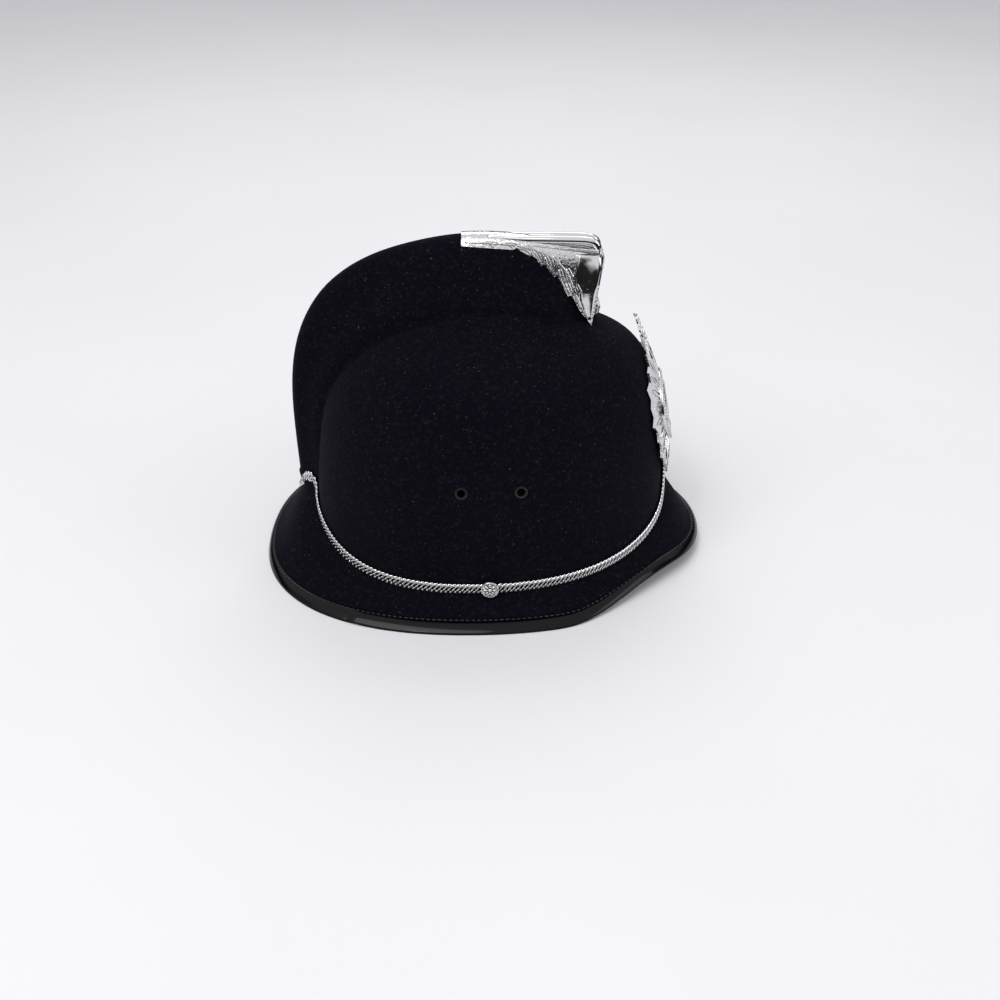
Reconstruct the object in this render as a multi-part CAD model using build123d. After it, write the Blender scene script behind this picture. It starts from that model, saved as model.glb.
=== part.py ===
"""Custodian helmet with a raised comb, a chrome comb end, a chain band and a star plate.

The frame: +X is the front of the helmet, +Y the wearer's left, +Z up. The origin lies on the
surface that the brim stands on, under the middle of the brim. All lengths are in millimetres.
"""
from build123d import *
import os
from functools import cache
from math import asin, atan2, copysign, cos, hypot, pi, radians, sin, tan

# Overall sizes
crown_height = 171
crown_rear = 113.5
crown_front = 125
crown_half_width = 96
crown_wall = 3
widest_station = -5
comb_rear = 127
comb_height = 219
comb_front = 64
comb_half_width = 28
brim_reach = 150
brim_front_reach = 156.5
brim_half_width = 120.5
brim_rise = 50
brim_thickness = 3
overrun = 6

# Shape of the crown, from its foot to its top, as shares of its height, reaches and half width
crown_height_shares = (0, .14, .28, .44, .57, .71, .82, .91, .97, 1)
crown_rear_shares = (1, 1, .993, .97, .943, .88, .76, .58, .37, .05)
crown_front_shares = (1, 1, .988, .968, .948, .912, .848, .72, .50, .18)
crown_width_shares = (1, .985, .972, .948, .906, .823, .708, .52, .32, .08)
rear_power = 2.4
front_power = 2.1
oval_points = 16

# Shape of the brim, from below its edge to the line where it dies into the crown
brim_height_shares = (-.1, 0, .14, .28, .44, .6, .82, 1)
brim_reach_shares = (1.025, 1, .965, .93, .897, .867, .835, .80)
brim_width_shares = (1.08, 1, .885, .79, .70, .60, .39, .12)
brim_growth_out_share = .5
brim_growth_up_share = .83

# Lift of the brim's edge at the front, along the helmet
edge_run_shares = (.33, .52, .78, 1.05)
edge_lift_shares = (0, .35, 1, .55)
edge_lift = 10

# Shape of the comb, from the rear of the brim to its front end: ridge line and root line
ridge_run_shares = (-.985, -.995, -1, -.995, -.945, -.80, -.58, -.33, -.09, .15, .35, .50, .62)
ridge_height_shares = (.10, .25, .38, .52, .68, .83, .925, .975, .998, .995, .98, .965, .94)
root_run_shares = (-.79, -.79, -.775, -.75, -.69, -.585, -.45, -.31, -.10, .15, .31, .45, .58)
root_height_shares = (.10, .22, .34, .44, .53, .61, .665, .695, .71, .712, .705, .685, .65)
comb_side_shares = (0, .18, .36, .5, .7, 1)
comb_rise_shares = (1, .97, .82, .6, .33, 0)
comb_foot_share = .9
hollow_top_half_width = 5
hollow_foot_half_width = 21
hollow_top_share = .93
hollow_foot_share = .05
prow_taper_start = 28
prow_waist_run = 50
prow_waist_half_width = 16
prow_half_width = 9.5

# Edge binding, brim lining and chain band
binding_thickness = 1
binding_height = 4.6
lining_thickness = .8
band_thickness = 2
band_height = 6.5

# Vent eyelets
eyelet_runs = (-12, 25)
eyelet_height = 84.5
eyelet_hole_radius = 2.6
eyelet_barrel_radius = 3.3
eyelet_flange_radius = 4.1
eyelet_flange_rise = .8
eyelet_tilt = 8

# Side studs, with what the chin strap turns on
stud_run = 5.5
stud_height = 18.5
stud_shank_radius = 1.6
stud_shank_end = 80.6
rosette_radius = 5.5
rosette_rise = 4.2
petal_count = 8
petal_radius = 1.5
sleeve_radius = 4
washer_radius = 5.5
washer_thickness = .8
rivet_head_radius = 3
fit_clearance = .15
turning_clearance = .3

# Chrome comb end
cap_thickness = 1
cap_clearance = .1
cap_rear = -12
cap_lip = 5.5
cap_front_runs = (76, 76.3, 72.6, 70)
cap_front_heights = (219, 204, 180, 163)
cap_edge_runs = (62.5, 54.5, 45.6, 37.6, 30.2, 20)
cap_edge_heights = (173, 183.5, 195.2, 201.8, 207.6, 211.4)
cap_step_run = 1.8
cap_step_rise = .9
cap_stud_runs = (8, 36)
cap_stud_radius = 1.2
cap_stud_length = 8
cap_nut_radius = 2.4
cap_nut_height = 2

# Star plate on the front, which stands off the crown a little
plate_run_shares = (1.01, .97, .775)
plate_height_shares = (.275, .582, .975)
plate_bend_radius = 69
plate_thickness = 1.2
plate_middle = 101.5
plate_half_height = 49.5
plate_half_width = 36
plate_points = 24
plate_valley_share = .91
plate_diagonal_share = .955
plate_hole_count = 16
plate_hole_radius = 1.5
plate_hole_ring_share = .52
post_heights = (66, 88)
post_radius = 1.6
post_end = 111
nut_radius = 3.6
nut_height = 3
roundel_radius = 15
roundel_rim_rise = 2
roundel_rise = 4
roundel_step = 1.6
roundel_crown_share = .75
finial_foot = 144
finial_height = 21
finial_stem_width = 4
finial_lobe_radius = 4.5

# Foam liner
liner_thickness = 12
liner_foot = 101

# Headband and sweatband
head_middle = 5.5
head_half_length = 100
head_half_width = 79
headband_thickness = 1.5
headband_foot = 13
headband_top = 58
sweatband_thickness = 1.2
sweatband_top = 50
sweatband_fold = 12
head_power = 2

# Cork blocks between headband and shell
spacer_angles = (30, 90, 150, 210, 270, 330)
spacer_width = 20
spacer_foot = 33
spacer_top = 56

# Webbing cradle over the head
strap_width = 20
strap_thickness = 1.5
strap_angles = (0, 60, -60)
strap_foot = 40
strap_shoulder = 45
cradle_top = 147
strap_lift = 1.8
strap_end_gap = .3
rivet_radius = 1.5
rivet_height = 49
cradle_rivet_head_radius = 3.5
cradle_rivet_head_height = .8
pad_radius = 34
pad_thickness = 6
button_radius = 6
button_shank_radius = 2
button_thickness = 1
button_gap = .3

# Chin strap
chin_width = 12
chin_thickness = 1.8
chin_side_half_width = 84.3
chin_layer = 2.7
chin_reach = 107
chin_droop = 6.1
chin_power = 2
chin_hole_radius = 1.3
chin_hole_pitch = 9
chin_hole_count = 4
buckle_angle = -36
buckle_length = 14
buckle_bar_radius = .9
buckle_bar_depth = .4
bar_loop_thickness = 1
prong_radius = .7
prong_eye_width = 2
prong_eye_wall = .8
prong_slot_length = 13.2
prong_slot_back = 3.2
strap_tail = 46
keeper_turn = 14
keeper_width = 6
keeper_thickness = 1
keeper_room = .7


def signed_power(value, power):
    return copysign(abs(value) ** power, value)


def oval_places(rear, front, half_width, rear_round, front_round, middle):
    """Points round an oval that may be fuller behind than in front."""
    places = []
    for step in range(oval_points):
        turn = 2 * pi * step / oval_points
        ahead = cos(turn) > 0
        power = 2 / (front_round if ahead else rear_round)
        reach = front - middle if ahead else rear + middle
        run = middle + reach * signed_power(cos(turn), power)
        places.append((run, half_width * signed_power(sin(turn), power)))
    return places


def oval(rear, front, half_width, height):
    """One level section of the crown or the brim."""
    places = oval_places(rear, front, half_width, rear_power, front_power, widest_station)
    return Wire(Spline(*[(x, y, height) for x, y in places], periodic=True))


def outward(places):
    """Unit normals of an open line of (across, up) points, on the side away from its left turn."""
    normals = []
    last = len(places) - 1
    for index in range(last + 1):
        before = places[max(index - 1, 0)]
        after = places[min(index + 1, last)]
        across = after[0] - before[0]
        up = after[1] - before[1]
        length = hypot(across, up)
        normals.append((-up / length, across / length))
    return normals


@cache
def crown(grow):
    """The dome as a solid, at the felt's surface or this much outside it."""
    heights = [share * crown_height for share in crown_height_shares]
    rears = [share * crown_rear for share in crown_rear_shares]
    fronts = [share * crown_front for share in crown_front_shares]
    widths = [share * crown_half_width for share in crown_width_shares]
    profile = [((rear + front) / 2, height) for rear, front, height in zip(rears, fronts, heights)]
    normals = outward(profile)
    normals[0] = (-1, 0)
    normals[-1] = (0, -1)
    sections = []
    for rear, front, width, height, normal in zip(rears, fronts, widths, heights, normals):
        out = -normal[0] * grow
        up = -normal[1] * grow
        foot = overrun if height == 0 else 0
        sections.append(oval(rear + out, front + out, width + out, height + up - foot))
    return Solid.make_loft(sections)


@cache
def brim(grow, lift=0):
    """Everything under the brim's upper surface, or under a surface this much above it."""
    sections = []
    out = grow * brim_growth_out_share
    up = grow * brim_growth_up_share + lift
    for height, reach, width in zip(brim_height_shares, brim_reach_shares, brim_width_shares):
        rear = brim_reach * reach + out
        front = brim_front_reach * reach + out
        sections.append(oval(rear, front, brim_half_width * width + out, brim_rise * height + up))
    return Solid.make_loft(sections)


def ridge_places(grow):
    """The comb's ridge line in the middle plane, grown outwards."""
    places = [(x * comb_rear, z * comb_height) for x, z in zip(ridge_run_shares, ridge_height_shares)]
    return [(x + n[0] * grow, z + n[1] * grow) for (x, z), n in zip(places, outward(places))]


def root_places():
    """The line inside the crown from which the comb rises."""
    return [(x * comb_rear, z * comb_height) for x, z in zip(root_run_shares, root_height_shares)]


def comb_section(side, rise, grow):
    """The comb's outline at a distance from the middle plane, part of the way from root to ridge."""
    line = []
    for (ridge_x, ridge_z), (root_x, root_z) in zip(ridge_places(grow), root_places()):
        line.append((root_x + rise * (ridge_x - root_x), side, root_z + rise * (ridge_z - root_z)))
    root_end = root_places()[-1]
    heel = (root_end[0], side, root_end[1] * comb_foot_share)
    return Wire([Spline(*line), Line(line[-1], heel), Line(heel, line[0])])


@cache
def comb(grow):
    """The raised comb as a solid, before its front end is shaped in plan."""
    halves = list(zip(comb_side_shares, comb_rise_shares))
    rows = [(-side, rise) for side, rise in halves[:0:-1]] + halves
    sections = [comb_section(side * (comb_half_width + grow), rise, grow) for side, rise in rows]
    return Solid.make_loft(sections)


@cache
def comb_hollow():
    """The space inside the comb, open to the crown."""
    rows = (
        (-hollow_foot_half_width, hollow_foot_share),
        (-hollow_top_half_width, hollow_top_share),
        (hollow_top_half_width, hollow_top_share),
        (hollow_foot_half_width, hollow_foot_share),
    )
    sections = [comb_section(side, rise, -crown_wall) for side, rise in rows]
    return Solid.make_loft(sections, ruled=True) & comb_plan(-crown_wall, comb_front)


@cache
def comb_plan(grow, front):
    """A column whose plan tapers to the blunt front end of the comb."""
    side = comb_half_width + overrun
    waist = prow_waist_half_width + grow
    nose = prow_half_width + grow
    right = [(prow_taper_start, -side), (prow_waist_run, -waist), (front + grow, -nose)]
    left = [(x, -y) for x, y in right[::-1]]
    rear = [(-comb_rear - overrun, side), (-comb_rear - overrun, -side)]
    outline = Polyline(*rear, *right, *left, close=True)
    return extrude(make_face(outline), amount=comb_height + overrun)


@cache
def lifted_edge(raise_by):
    """Everything under the brim's edge line, which sweeps up a little towards the front."""
    places = []
    for run, lift in zip(edge_run_shares, edge_lift_shares):
        places.append((run * brim_front_reach, raise_by + lift * edge_lift))
    far = brim_front_reach + overrun * 2
    curve = Spline(*places, tangents=[(1, 0), (1, -edge_lift / brim_reach)])
    start = Polyline(places[0], (-far, raise_by), (-far, -overrun * 2), (far, -overrun * 2), curve @ 1)
    face = make_face(Plane.XZ * (curve + start))
    return extrude(face, amount=far, both=True)


def side_axis(run, height, side):
    """A plane whose normal points out of the helmet's side."""
    return Plane(origin=(run, 0, height), x_dir=(1, 0, 0), z_dir=(0, side, 0))


def front_axis(height):
    """A plane at the middle of the helmet whose normal points forward."""
    return Plane(origin=(0, 0, height), x_dir=(0, 1, 0), z_dir=(1, 0, 0))


def rod(plane, radius, start, end):
    """A round bar along a plane's normal, from one distance to another."""
    return plane * Pos(0, 0, (start + end) / 2) * Cylinder(radius, end - start)


def save(node, shape):
    """Writes one sub-part and prints what it holds."""
    solids = shape.solids()
    shape = solids[0] if len(solids) == 1 else Compound(children=solids)
    shape.label = node
    export_step(shape, f"parts/{node}.step")
    print(f"{node}: {len(solids)} solid(s), {sum(solid.volume for solid in solids):.0f} mm3")


os.makedirs("parts", exist_ok=True)

# Surfaces that several pieces share
crown_skin = crown(0)
crown_inside = crown(-crown_wall)
comb_skin = comb(0) & comb_plan(0, comb_front)
brim_skin = brim(0)
brim_inside = brim(-brim_thickness)
edge_under_felt = lifted_edge(binding_thickness)
edge_floor = lifted_edge(0)


# The felt shell: dome, comb and brim in one piece
def stud_bores(radius):
    bores = []
    for side in (-1, 1):
        bores.append(rod(side_axis(stud_run, stud_height, side), radius, stud_shank_end, brim_half_width))
    return bores


def eyelet_plane(run, side):
    tilt = radians(eyelet_tilt)
    normal = (0, side * cos(tilt), sin(tilt))
    return Plane(origin=(run, side * eyelet_seat, eyelet_height), x_dir=(1, 0, 0), z_dir=normal)


def crown_side(run, height):
    """How far the crown's side stands out at a place, from the tables of its shape."""
    share = height / crown_height
    for low in range(len(crown_height_shares) - 1):
        if crown_height_shares[low + 1] >= share:
            break
    span = crown_height_shares[low + 1] - crown_height_shares[low]
    part = (share - crown_height_shares[low]) / span
    widths = crown_width_shares[low:low + 2]
    fronts = crown_front_shares[low:low + 2]
    width = crown_half_width * (widths[0] + part * (widths[1] - widths[0]))
    front = crown_front * (fronts[0] + part * (fronts[1] - fronts[0]))
    reach = abs(run - widest_station) / (front - widest_station)
    return width * (1 - reach ** front_power) ** (1 / front_power)


eyelet_seat = crown_side(sum(eyelet_runs) / len(eyelet_runs), eyelet_height)
eyelet_planes = [eyelet_plane(run, side) for run in eyelet_runs for side in (-1, 1)]
post_planes = [front_axis(height) for height in post_heights]

felt_shell = crown_skin + comb_skin + brim_skin
felt_shell -= crown_inside
felt_shell -= comb_hollow()
felt_shell -= brim_inside
felt_shell -= edge_under_felt
for bore in stud_bores(stud_shank_radius + fit_clearance):
    felt_shell -= bore
for plane in eyelet_planes:
    felt_shell -= rod(plane, eyelet_barrel_radius + fit_clearance, -overrun, overrun)
for plane in post_planes:
    felt_shell -= rod(plane, post_radius + fit_clearance, post_end, crown_front + overrun)
for run in cap_stud_runs:
    bore = Cylinder(cap_stud_radius + fit_clearance, cap_stud_length * 2)
    felt_shell -= Pos(run, 0, comb_height - cap_stud_length) * bore
save("felt_shell", felt_shell)


# The patent binding, folded round the brim's edge
def binding():
    strip = brim(binding_thickness) - brim(-brim_thickness - binding_thickness)
    strip = (strip & lifted_edge(binding_height)) - edge_floor
    felt_edge = (brim_skin - brim_inside) - edge_under_felt
    return strip - felt_edge


save("brim_binding", binding())


# The lining under the brim, from the binding to the crown's wall
def lining():
    sheet = brim_inside - brim(-brim_thickness - lining_thickness)
    return sheet - lifted_edge(binding_height) - crown_inside


save("brim_lining", lining())


# The band round the foot of the crown
def band():
    outside = crown(band_thickness) + (comb(band_thickness) & comb_plan(band_thickness, comb_front))
    ring = outside & brim(0, band_height)
    ring = ring - crown_skin - comb_skin - brim_skin
    for bore in stud_bores(stud_shank_radius + fit_clearance):
        ring -= bore
    return ring


save("chain_band", band())


# The side studs: a rosette outside on a shank that goes through to the chin strap
def rosettes():
    seat = crown(band_thickness)
    studs = []
    for side in (-1, 1):
        plane = side_axis(stud_run, stud_height, side)
        face = crown_side(stud_run, stud_height) + band_thickness
        head = rod(plane, rosette_radius, face - band_thickness, face + rosette_rise / 2)
        dome = plane * Pos(0, 0, face + rosette_rise / 4) * Sphere(rosette_rise * 3 / 4)
        head += dome
        for step in range(petal_count):
            turn = Rot(0, 0, 360 * step / petal_count)
            bead = turn * Pos(rosette_radius - petal_radius, 0, rosette_rise / 2) * Sphere(petal_radius)
            head += plane * Pos(0, 0, face) * bead
        head -= seat
        stud = head + rod(plane, stud_shank_radius, stud_shank_end, face + rosette_rise / 4)
        studs.append(stud)
    return Compound(children=[solid for stud in studs for solid in stud.solids()])


save("side_rosettes", rosettes())


# Where each layer of the chin strap lies at the studs
short_inner = chin_side_half_width
short_outer = short_inner + chin_thickness
long_inner = short_inner + chin_layer
long_outer = long_inner + chin_thickness
strap_faces = {-1: (short_inner, short_outer), 1: (long_inner, long_outer)}


def stud_sleeves():
    sleeves = []
    for side in (-1, 1):
        plane = side_axis(stud_run, stud_height, side)
        start = strap_faces[side][1] + turning_clearance
        tube = rod(plane, sleeve_radius, start, crown_half_width)
        tube -= rod(plane, stud_shank_radius + fit_clearance, start, crown_half_width)
        sleeves.append(tube & crown_inside)
    return Compound(children=[solid for sleeve in sleeves for solid in sleeve.solids()])


def stud_washers():
    washers = []
    for side in (-1, 1):
        plane = side_axis(stud_run, stud_height, side)
        top = strap_faces[side][0] - turning_clearance
        washer = rod(plane, washer_radius, top - washer_thickness, top)
        washer += rod(plane, rivet_head_radius, top - 2 * washer_thickness, top - washer_thickness)
        washers.append(washer - rod(plane, stud_shank_radius, stud_shank_end, top + overrun))
    return Compound(children=[solid for washer in washers for solid in washer.solids()])


save("stud_sleeves", stud_sleeves())
save("stud_washers", stud_washers())


# The vent eyelets, rolled over on both faces of the wall
def eyelets():
    rings = []
    for plane in eyelet_planes:
        flange = rod(plane, eyelet_flange_radius, -overrun / 2, eyelet_flange_rise * 2)
        outside = (flange & crown(eyelet_flange_rise)) - crown_skin
        inside = rod(plane, eyelet_flange_radius, -overrun, 0) & crown_inside
        inside -= crown(-crown_wall - eyelet_flange_rise)
        barrel = rod(plane, eyelet_barrel_radius, -overrun, overrun) & crown(eyelet_flange_rise)
        barrel -= crown(-crown_wall - eyelet_flange_rise)
        ring = outside + inside + barrel
        rings.append(ring - rod(plane, eyelet_hole_radius, -overrun * 2, overrun * 2))
    return Compound(children=[solid for ring in rings for solid in ring.solids()])


save("vent_eyelets", eyelets())


# The chrome comb end: a pressed cap over the front of the comb, with an empty nose
def leaf_edge():
    """The lower edge of the cap's cheek in side view: leaf tips, each with a step behind it."""
    edge = [(cap_edge_runs[0], cap_edge_heights[0])]
    for run, height in zip(cap_edge_runs[1:], cap_edge_heights[1:]):
        edge += [(run + cap_step_run, height + cap_step_rise), (run, height)]
    return edge


def cap_region(inset):
    """The cap's side view; with an inset, the room inside it, open behind and below."""
    front = [(x - inset, z) for x, z in zip(cap_front_runs, cap_front_heights)]
    edge = leaf_edge()
    top = comb_height + overrun
    tail = (cap_rear, comb_height - cap_lip)
    if inset:
        front[-1] = (front[-1][0], front[-1][1] - overrun)
        edge = [(cap_rear - overrun, front[-1][1])]
        tail = (cap_rear - overrun, comb_height - cap_lip)
    outline = [(tail[0], top), (front[0][0], top), *front, *edge, tail]
    face = make_face(Plane.XZ * Polyline(*outline, close=True))
    return extrude(face, amount=comb_half_width + overrun, both=True)


def cap_solid(grow, inset):
    return comb(grow) & comb_plan(grow, cap_front_runs[0] + overrun) & cap_region(inset)


def comb_end():
    cap = cap_solid(cap_thickness + cap_clearance, 0) - cap_solid(cap_clearance, cap_thickness)
    cap = cap - comb_skin - crown_skin
    cap = cap.solids().sort_by(SortBy.VOLUME)[-1]
    for run in cap_stud_runs:
        stud = Pos(run, 0, comb_height - cap_stud_length) * Cylinder(cap_stud_radius, cap_stud_length * 2)
        cap += stud & comb(cap_thickness / 2)
    return cap


def comb_end_nuts():
    """Flat nuts seated against the top of the comb's hollow."""
    nuts = []
    top = comb_hollow()
    for run in cap_stud_runs:
        middle = Pos(run, 0, comb_height - cap_stud_length)
        nut = (middle * Cylinder(cap_nut_radius, cap_stud_length * 2)) & top
        nut -= Pos(0, 0, -cap_nut_height) * top
        nuts += (nut - middle * Cylinder(cap_stud_radius, cap_stud_length * 2)).solids()
    return Compound(children=nuts)


save("comb_end", comb_end())
save("comb_end_nuts", comb_end_nuts())


# The star plate, bent round the front of the crown and held off it
def plate_solid(grow):
    """Everything behind the plate's back, or behind a surface this much in front of it."""
    middle = crown_front * plate_run_shares[1] - plate_bend_radius
    places = []
    for run, height in zip(plate_run_shares, plate_height_shares):
        places.append((crown_front * run + grow, crown_height * height))
    sides = Polyline(places[2], (middle, places[2][1]), (middle, places[0][1]), places[0])
    face = make_face(Plane.XZ * (ThreePointArc(*places) + sides))
    return revolve(face, Axis((middle, 0, 0), (0, 0, 1)))


def star_column():
    """The star's outline as a level column; the upright and level rays are the longest."""
    places = []
    for step in range(plate_points * 2):
        turn = pi * step / plate_points
        if step % 2:
            share = plate_valley_share
        elif step % 4:
            share = plate_diagonal_share
        else:
            share = 1
        places.append((share * plate_half_width * cos(turn), share * plate_half_height * sin(turn)))
    return front_column(plate_middle, Polyline(*places, close=True))


def front_column(height, outline):
    """An outline in front of the crown's middle, drawn out forward."""
    start = Plane(origin=(crown_front / 2, 0, height), x_dir=(0, 1, 0), z_dir=(1, 0, 0))
    return extrude(start * make_face(outline), amount=brim_reach - crown_front / 2)


plate_back = plate_solid(0)
plate_face = plate_solid(plate_thickness)
plate_sheet = plate_face - plate_back
star = star_column()


def helmet_plate():
    plate = plate_sheet & star
    for step in range(plate_hole_count):
        turn = 2 * pi * step / plate_hole_count
        across = plate_hole_ring_share * plate_half_width * cos(turn)
        up = plate_hole_ring_share * plate_half_height * sin(turn)
        plate -= front_axis(plate_middle) * Pos(across, up) * rod(Plane.XY, plate_hole_radius, post_end, brim_reach)
    for plane in post_planes:
        plate += rod(plane, post_radius, post_end, brim_reach) & plate_solid(plate_thickness / 2)
    return plate


def plate_nuts():
    nuts = []
    for plane in post_planes:
        nut = rod(plane, nut_radius, post_end, crown_front) & crown_inside
        nut -= crown(-crown_wall - nut_height)
        nut -= rod(plane, post_radius, post_end - overrun, crown_front)
        nuts += nut.solids()
    return Compound(children=nuts)


def roundel():
    """A stepped, slightly domed boss, seated on the plate's face."""
    seat = crown_front * plate_run_shares[1] + plate_thickness
    rim = seat + roundel_rim_rise
    top = seat + roundel_rise
    inner = roundel_radius - roundel_step
    sides = Polyline((0, top), (0, post_end), (roundel_radius, post_end), (roundel_radius, rim), (inner, rim))
    crest = (inner / 2, rim + (roundel_rise - roundel_rim_rise) * roundel_crown_share)
    dome = ThreePointArc((inner, rim), crest, (0, top))
    disc = revolve(make_face(Plane.XZ * (sides + dome)), Axis.Z)
    return front_axis(plate_middle) * disc - plate_face


def finial():
    """A plain three-lobed ornament on a short stem, bent like the plate."""
    lobe = finial_lobe_radius
    outline = Pos(0, finial_height / 2) * Rectangle(finial_stem_width, finial_height)
    outline += Pos(0, finial_height - lobe) * Circle(lobe)
    for side in (-1, 1):
        outline += Pos(side * lobe, finial_height - 2 * lobe) * Circle(lobe)
    start = Plane(origin=(crown_front / 2, 0, finial_foot), x_dir=(0, 1, 0), z_dir=(1, 0, 0))
    return (extrude(start * outline, amount=brim_reach - crown_front / 2) & plate_sheet) - star


save("helmet_plate", helmet_plate())
save("plate_nuts", plate_nuts())
save("plate_roundel", roundel())
save("plate_finial", finial())


# The foam liner in the top of the crown
def liner():
    cap = crown_inside - crown(-crown_wall - liner_thickness)
    block = Pos(0, 0, liner_foot / 2 - overrun) * Box(brim_reach * 2, brim_reach * 2, liner_foot + overrun * 2)
    return cap - block


save("impact_liner", liner())


# Headband, sweatband and the cork blocks behind them
def head_oval(grow, foot, top):
    """A level prism round the head, this much outside the headband's outer face."""
    reach = head_half_length + grow
    places = oval_places(reach, reach, head_half_width + grow, head_power, head_power, 0)
    wire = Wire(Spline(*[(head_middle + x, y, foot) for x, y in places], periodic=True))
    return extrude(Face(wire), amount=top - foot, dir=(0, 0, 1))


def headband():
    ring = head_oval(0, headband_foot, headband_top)
    ring -= head_oval(-headband_thickness, headband_foot, headband_top)
    for plane in cradle_planes:
        ring -= rod(plane, rivet_radius, -overrun, overrun)
    return ring


def sweatband():
    """Leather against the head, turned under the headband's lower edge and up its outer face."""
    inner = -headband_thickness - sweatband_thickness
    low = headband_foot - sweatband_thickness
    band_inside = head_oval(-headband_thickness, low, sweatband_top)
    fold = head_oval(sweatband_thickness, low, headband_foot + sweatband_fold)
    fold -= head_oval(0, headband_foot, headband_foot + sweatband_fold)
    band_inside += fold
    return band_inside - head_oval(inner, low, sweatband_top)


def oval_plane(angle, half_length, half_width, power):
    """A plane on an upright oval wall: x along the wall, y up, z away from the middle."""
    turn = radians(angle)
    across = abs(cos(turn)) / half_length
    beside = abs(sin(turn)) / half_width
    reach = (across ** power + beside ** power) ** (-1 / power)
    place = (reach * cos(turn), reach * sin(turn))
    slope_x = signed_power(place[0], power - 1) / half_length ** power
    slope_y = signed_power(place[1], power - 1) / half_width ** power
    length = hypot(slope_x, slope_y)
    normal = (slope_x / length, slope_y / length, 0)
    return Plane(origin=(*place, 0), x_dir=(-normal[1], normal[0], 0), z_dir=normal)


def head_plane(angle, height):
    """A plane on the headband's outer face, in this direction from its middle."""
    plane = oval_plane(angle, head_half_length, head_half_width, head_power)
    return Plane(Pos(head_middle, 0, height) * plane.location)


cradle_planes = [head_plane(angle + flip, rivet_height) for angle in strap_angles for flip in (0, 180)]


def spacers():
    blocks = []
    height = spacer_top - spacer_foot
    room = crown_inside - head_oval(0, spacer_foot - overrun, spacer_top + overrun)
    for angle in spacer_angles:
        middle = Pos(head_middle, 0, spacer_foot + height / 2) * Rot(0, 0, angle)
        bar = middle * Pos(brim_reach / 2, 0, 0) * Box(brim_reach, spacer_width, height)
        blocks += (bar & room).solids()
    return Compound(children=blocks)


save("headband", headband())
save("sweatband", sweatband())
save("headband_spacers", spacers())


# The cradle: three webbing straps that cross over the head
def cradle_dome(grow, lift):
    """The space under a strap: upright from its ends to the shoulder, then domed over the head."""
    reach = head_half_length + grow
    top = cradle_top + grow + lift
    arch = EllipticalCenterArc((0, strap_shoulder), reach, top - strap_shoulder)
    sides = Polyline((0, top), (0, strap_foot), (reach, strap_foot), (reach, strap_shoulder))
    dome = revolve(make_face(Plane.YZ * (arch + sides)), Axis.Z)
    return Pos(head_middle, 0, 0) * scale(dome, by=(1, (head_half_width + grow) / reach, 1))


def cradle_strap(order, angle):
    """One strap, which lies above those that cross under it."""
    lift = order * strap_lift
    web = cradle_dome(strap_end_gap + strap_thickness, lift) - cradle_dome(strap_end_gap, lift)
    slab = Rot(0, 0, angle) * Box(brim_reach * 2, strap_width, crown_height * 2)
    web &= Pos(head_middle, 0, 0) * slab
    web -= head_oval(strap_end_gap / 2, headband_foot, headband_top + strap_end_gap)
    for plane in cradle_planes[order * 2:order * 2 + 2]:
        web -= rod(plane, rivet_radius, -overrun, overrun)
    return web - (Pos(head_middle, 0, cradle_top) * Cylinder(button_shank_radius, crown_height / 2))


cradle_webs = [cradle_strap(order, angle) for order, angle in enumerate(strap_angles)]
save("cradle_strap_long", cradle_webs[0])
save("cradle_straps_cross", Compound(children=[solid for web in cradle_webs[1:] for solid in web.solids()]))


def cradle_rivets():
    rivets = []
    inside = head_oval(-headband_thickness, headband_foot, headband_top)
    seat = strap_end_gap + strap_thickness
    for plane in cradle_planes:
        rivet = rod(plane, rivet_radius, -overrun, seat)
        rivet += rod(plane, cradle_rivet_head_radius, seat, seat + cradle_rivet_head_height)
        rivets += (rivet - inside).solids()
    return Compound(children=rivets)


def crown_pad():
    """A round pad that follows the dome between the crossing and the head."""
    pad = cradle_dome(0, -turning_clearance) - cradle_dome(0, -turning_clearance - pad_thickness)
    pad &= Pos(head_middle, 0, cradle_top) * Cylinder(pad_radius, crown_height)
    return pad - (Pos(head_middle, 0, cradle_top) * Cylinder(button_shank_radius, crown_height))


def crown_button():
    """The rivet through the crossing and the pad."""
    low = cradle_top - turning_clearance - pad_thickness - button_gap
    high = cradle_top + strap_end_gap + strap_lift * 2 + strap_thickness
    shank = Pos(0, 0, (low + high) / 2) * Cylinder(button_shank_radius, high - low)
    heads = Pos(0, 0, high + button_thickness / 2) * Cylinder(button_radius, button_thickness)
    heads += Pos(0, 0, low - button_thickness / 2) * Cylinder(button_radius, button_thickness)
    return Pos(head_middle, 0, 0) * (shank + heads)


save("cradle_rivets", cradle_rivets())
save("crown_pad", crown_pad())
save("crown_button", crown_button())


# The chin strap, which lies in the gap round the front and swings down on the side studs
def strap_path(offset, height):
    """A prism under the strap's inner face, moved outwards by an offset."""
    half_width = chin_side_half_width + offset
    reach = chin_reach + offset
    places = oval_places(reach, reach, half_width, chin_power, chin_power, 0)
    wire = Wire(Spline(*[(x, y, -height / 2) for x, y in places], periodic=True))
    return extrude(Face(wire), amount=height, dir=(0, 0, 1))


def path_plane(angle):
    """A plane on the strap's inner face: x along the strap, y up, z away from the head."""
    return oval_plane(angle, chin_reach, chin_side_half_width, chin_power)


def strap_layer(offset):
    """A full turn of strap with rounded ends at the studs, ready to be cut to length."""
    web = strap_path(offset + chin_thickness, chin_width) - strap_path(offset, chin_width)
    slot = Pos(chin_reach / 2, 0) * Rectangle(chin_reach, chin_width) + Circle(chin_width / 2)
    slot += Pos(chin_reach, 0) * Rectangle(chin_reach, chin_width)
    keep = extrude(Plane.XZ * slot, amount=brim_half_width, both=True)
    return web & keep


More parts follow.
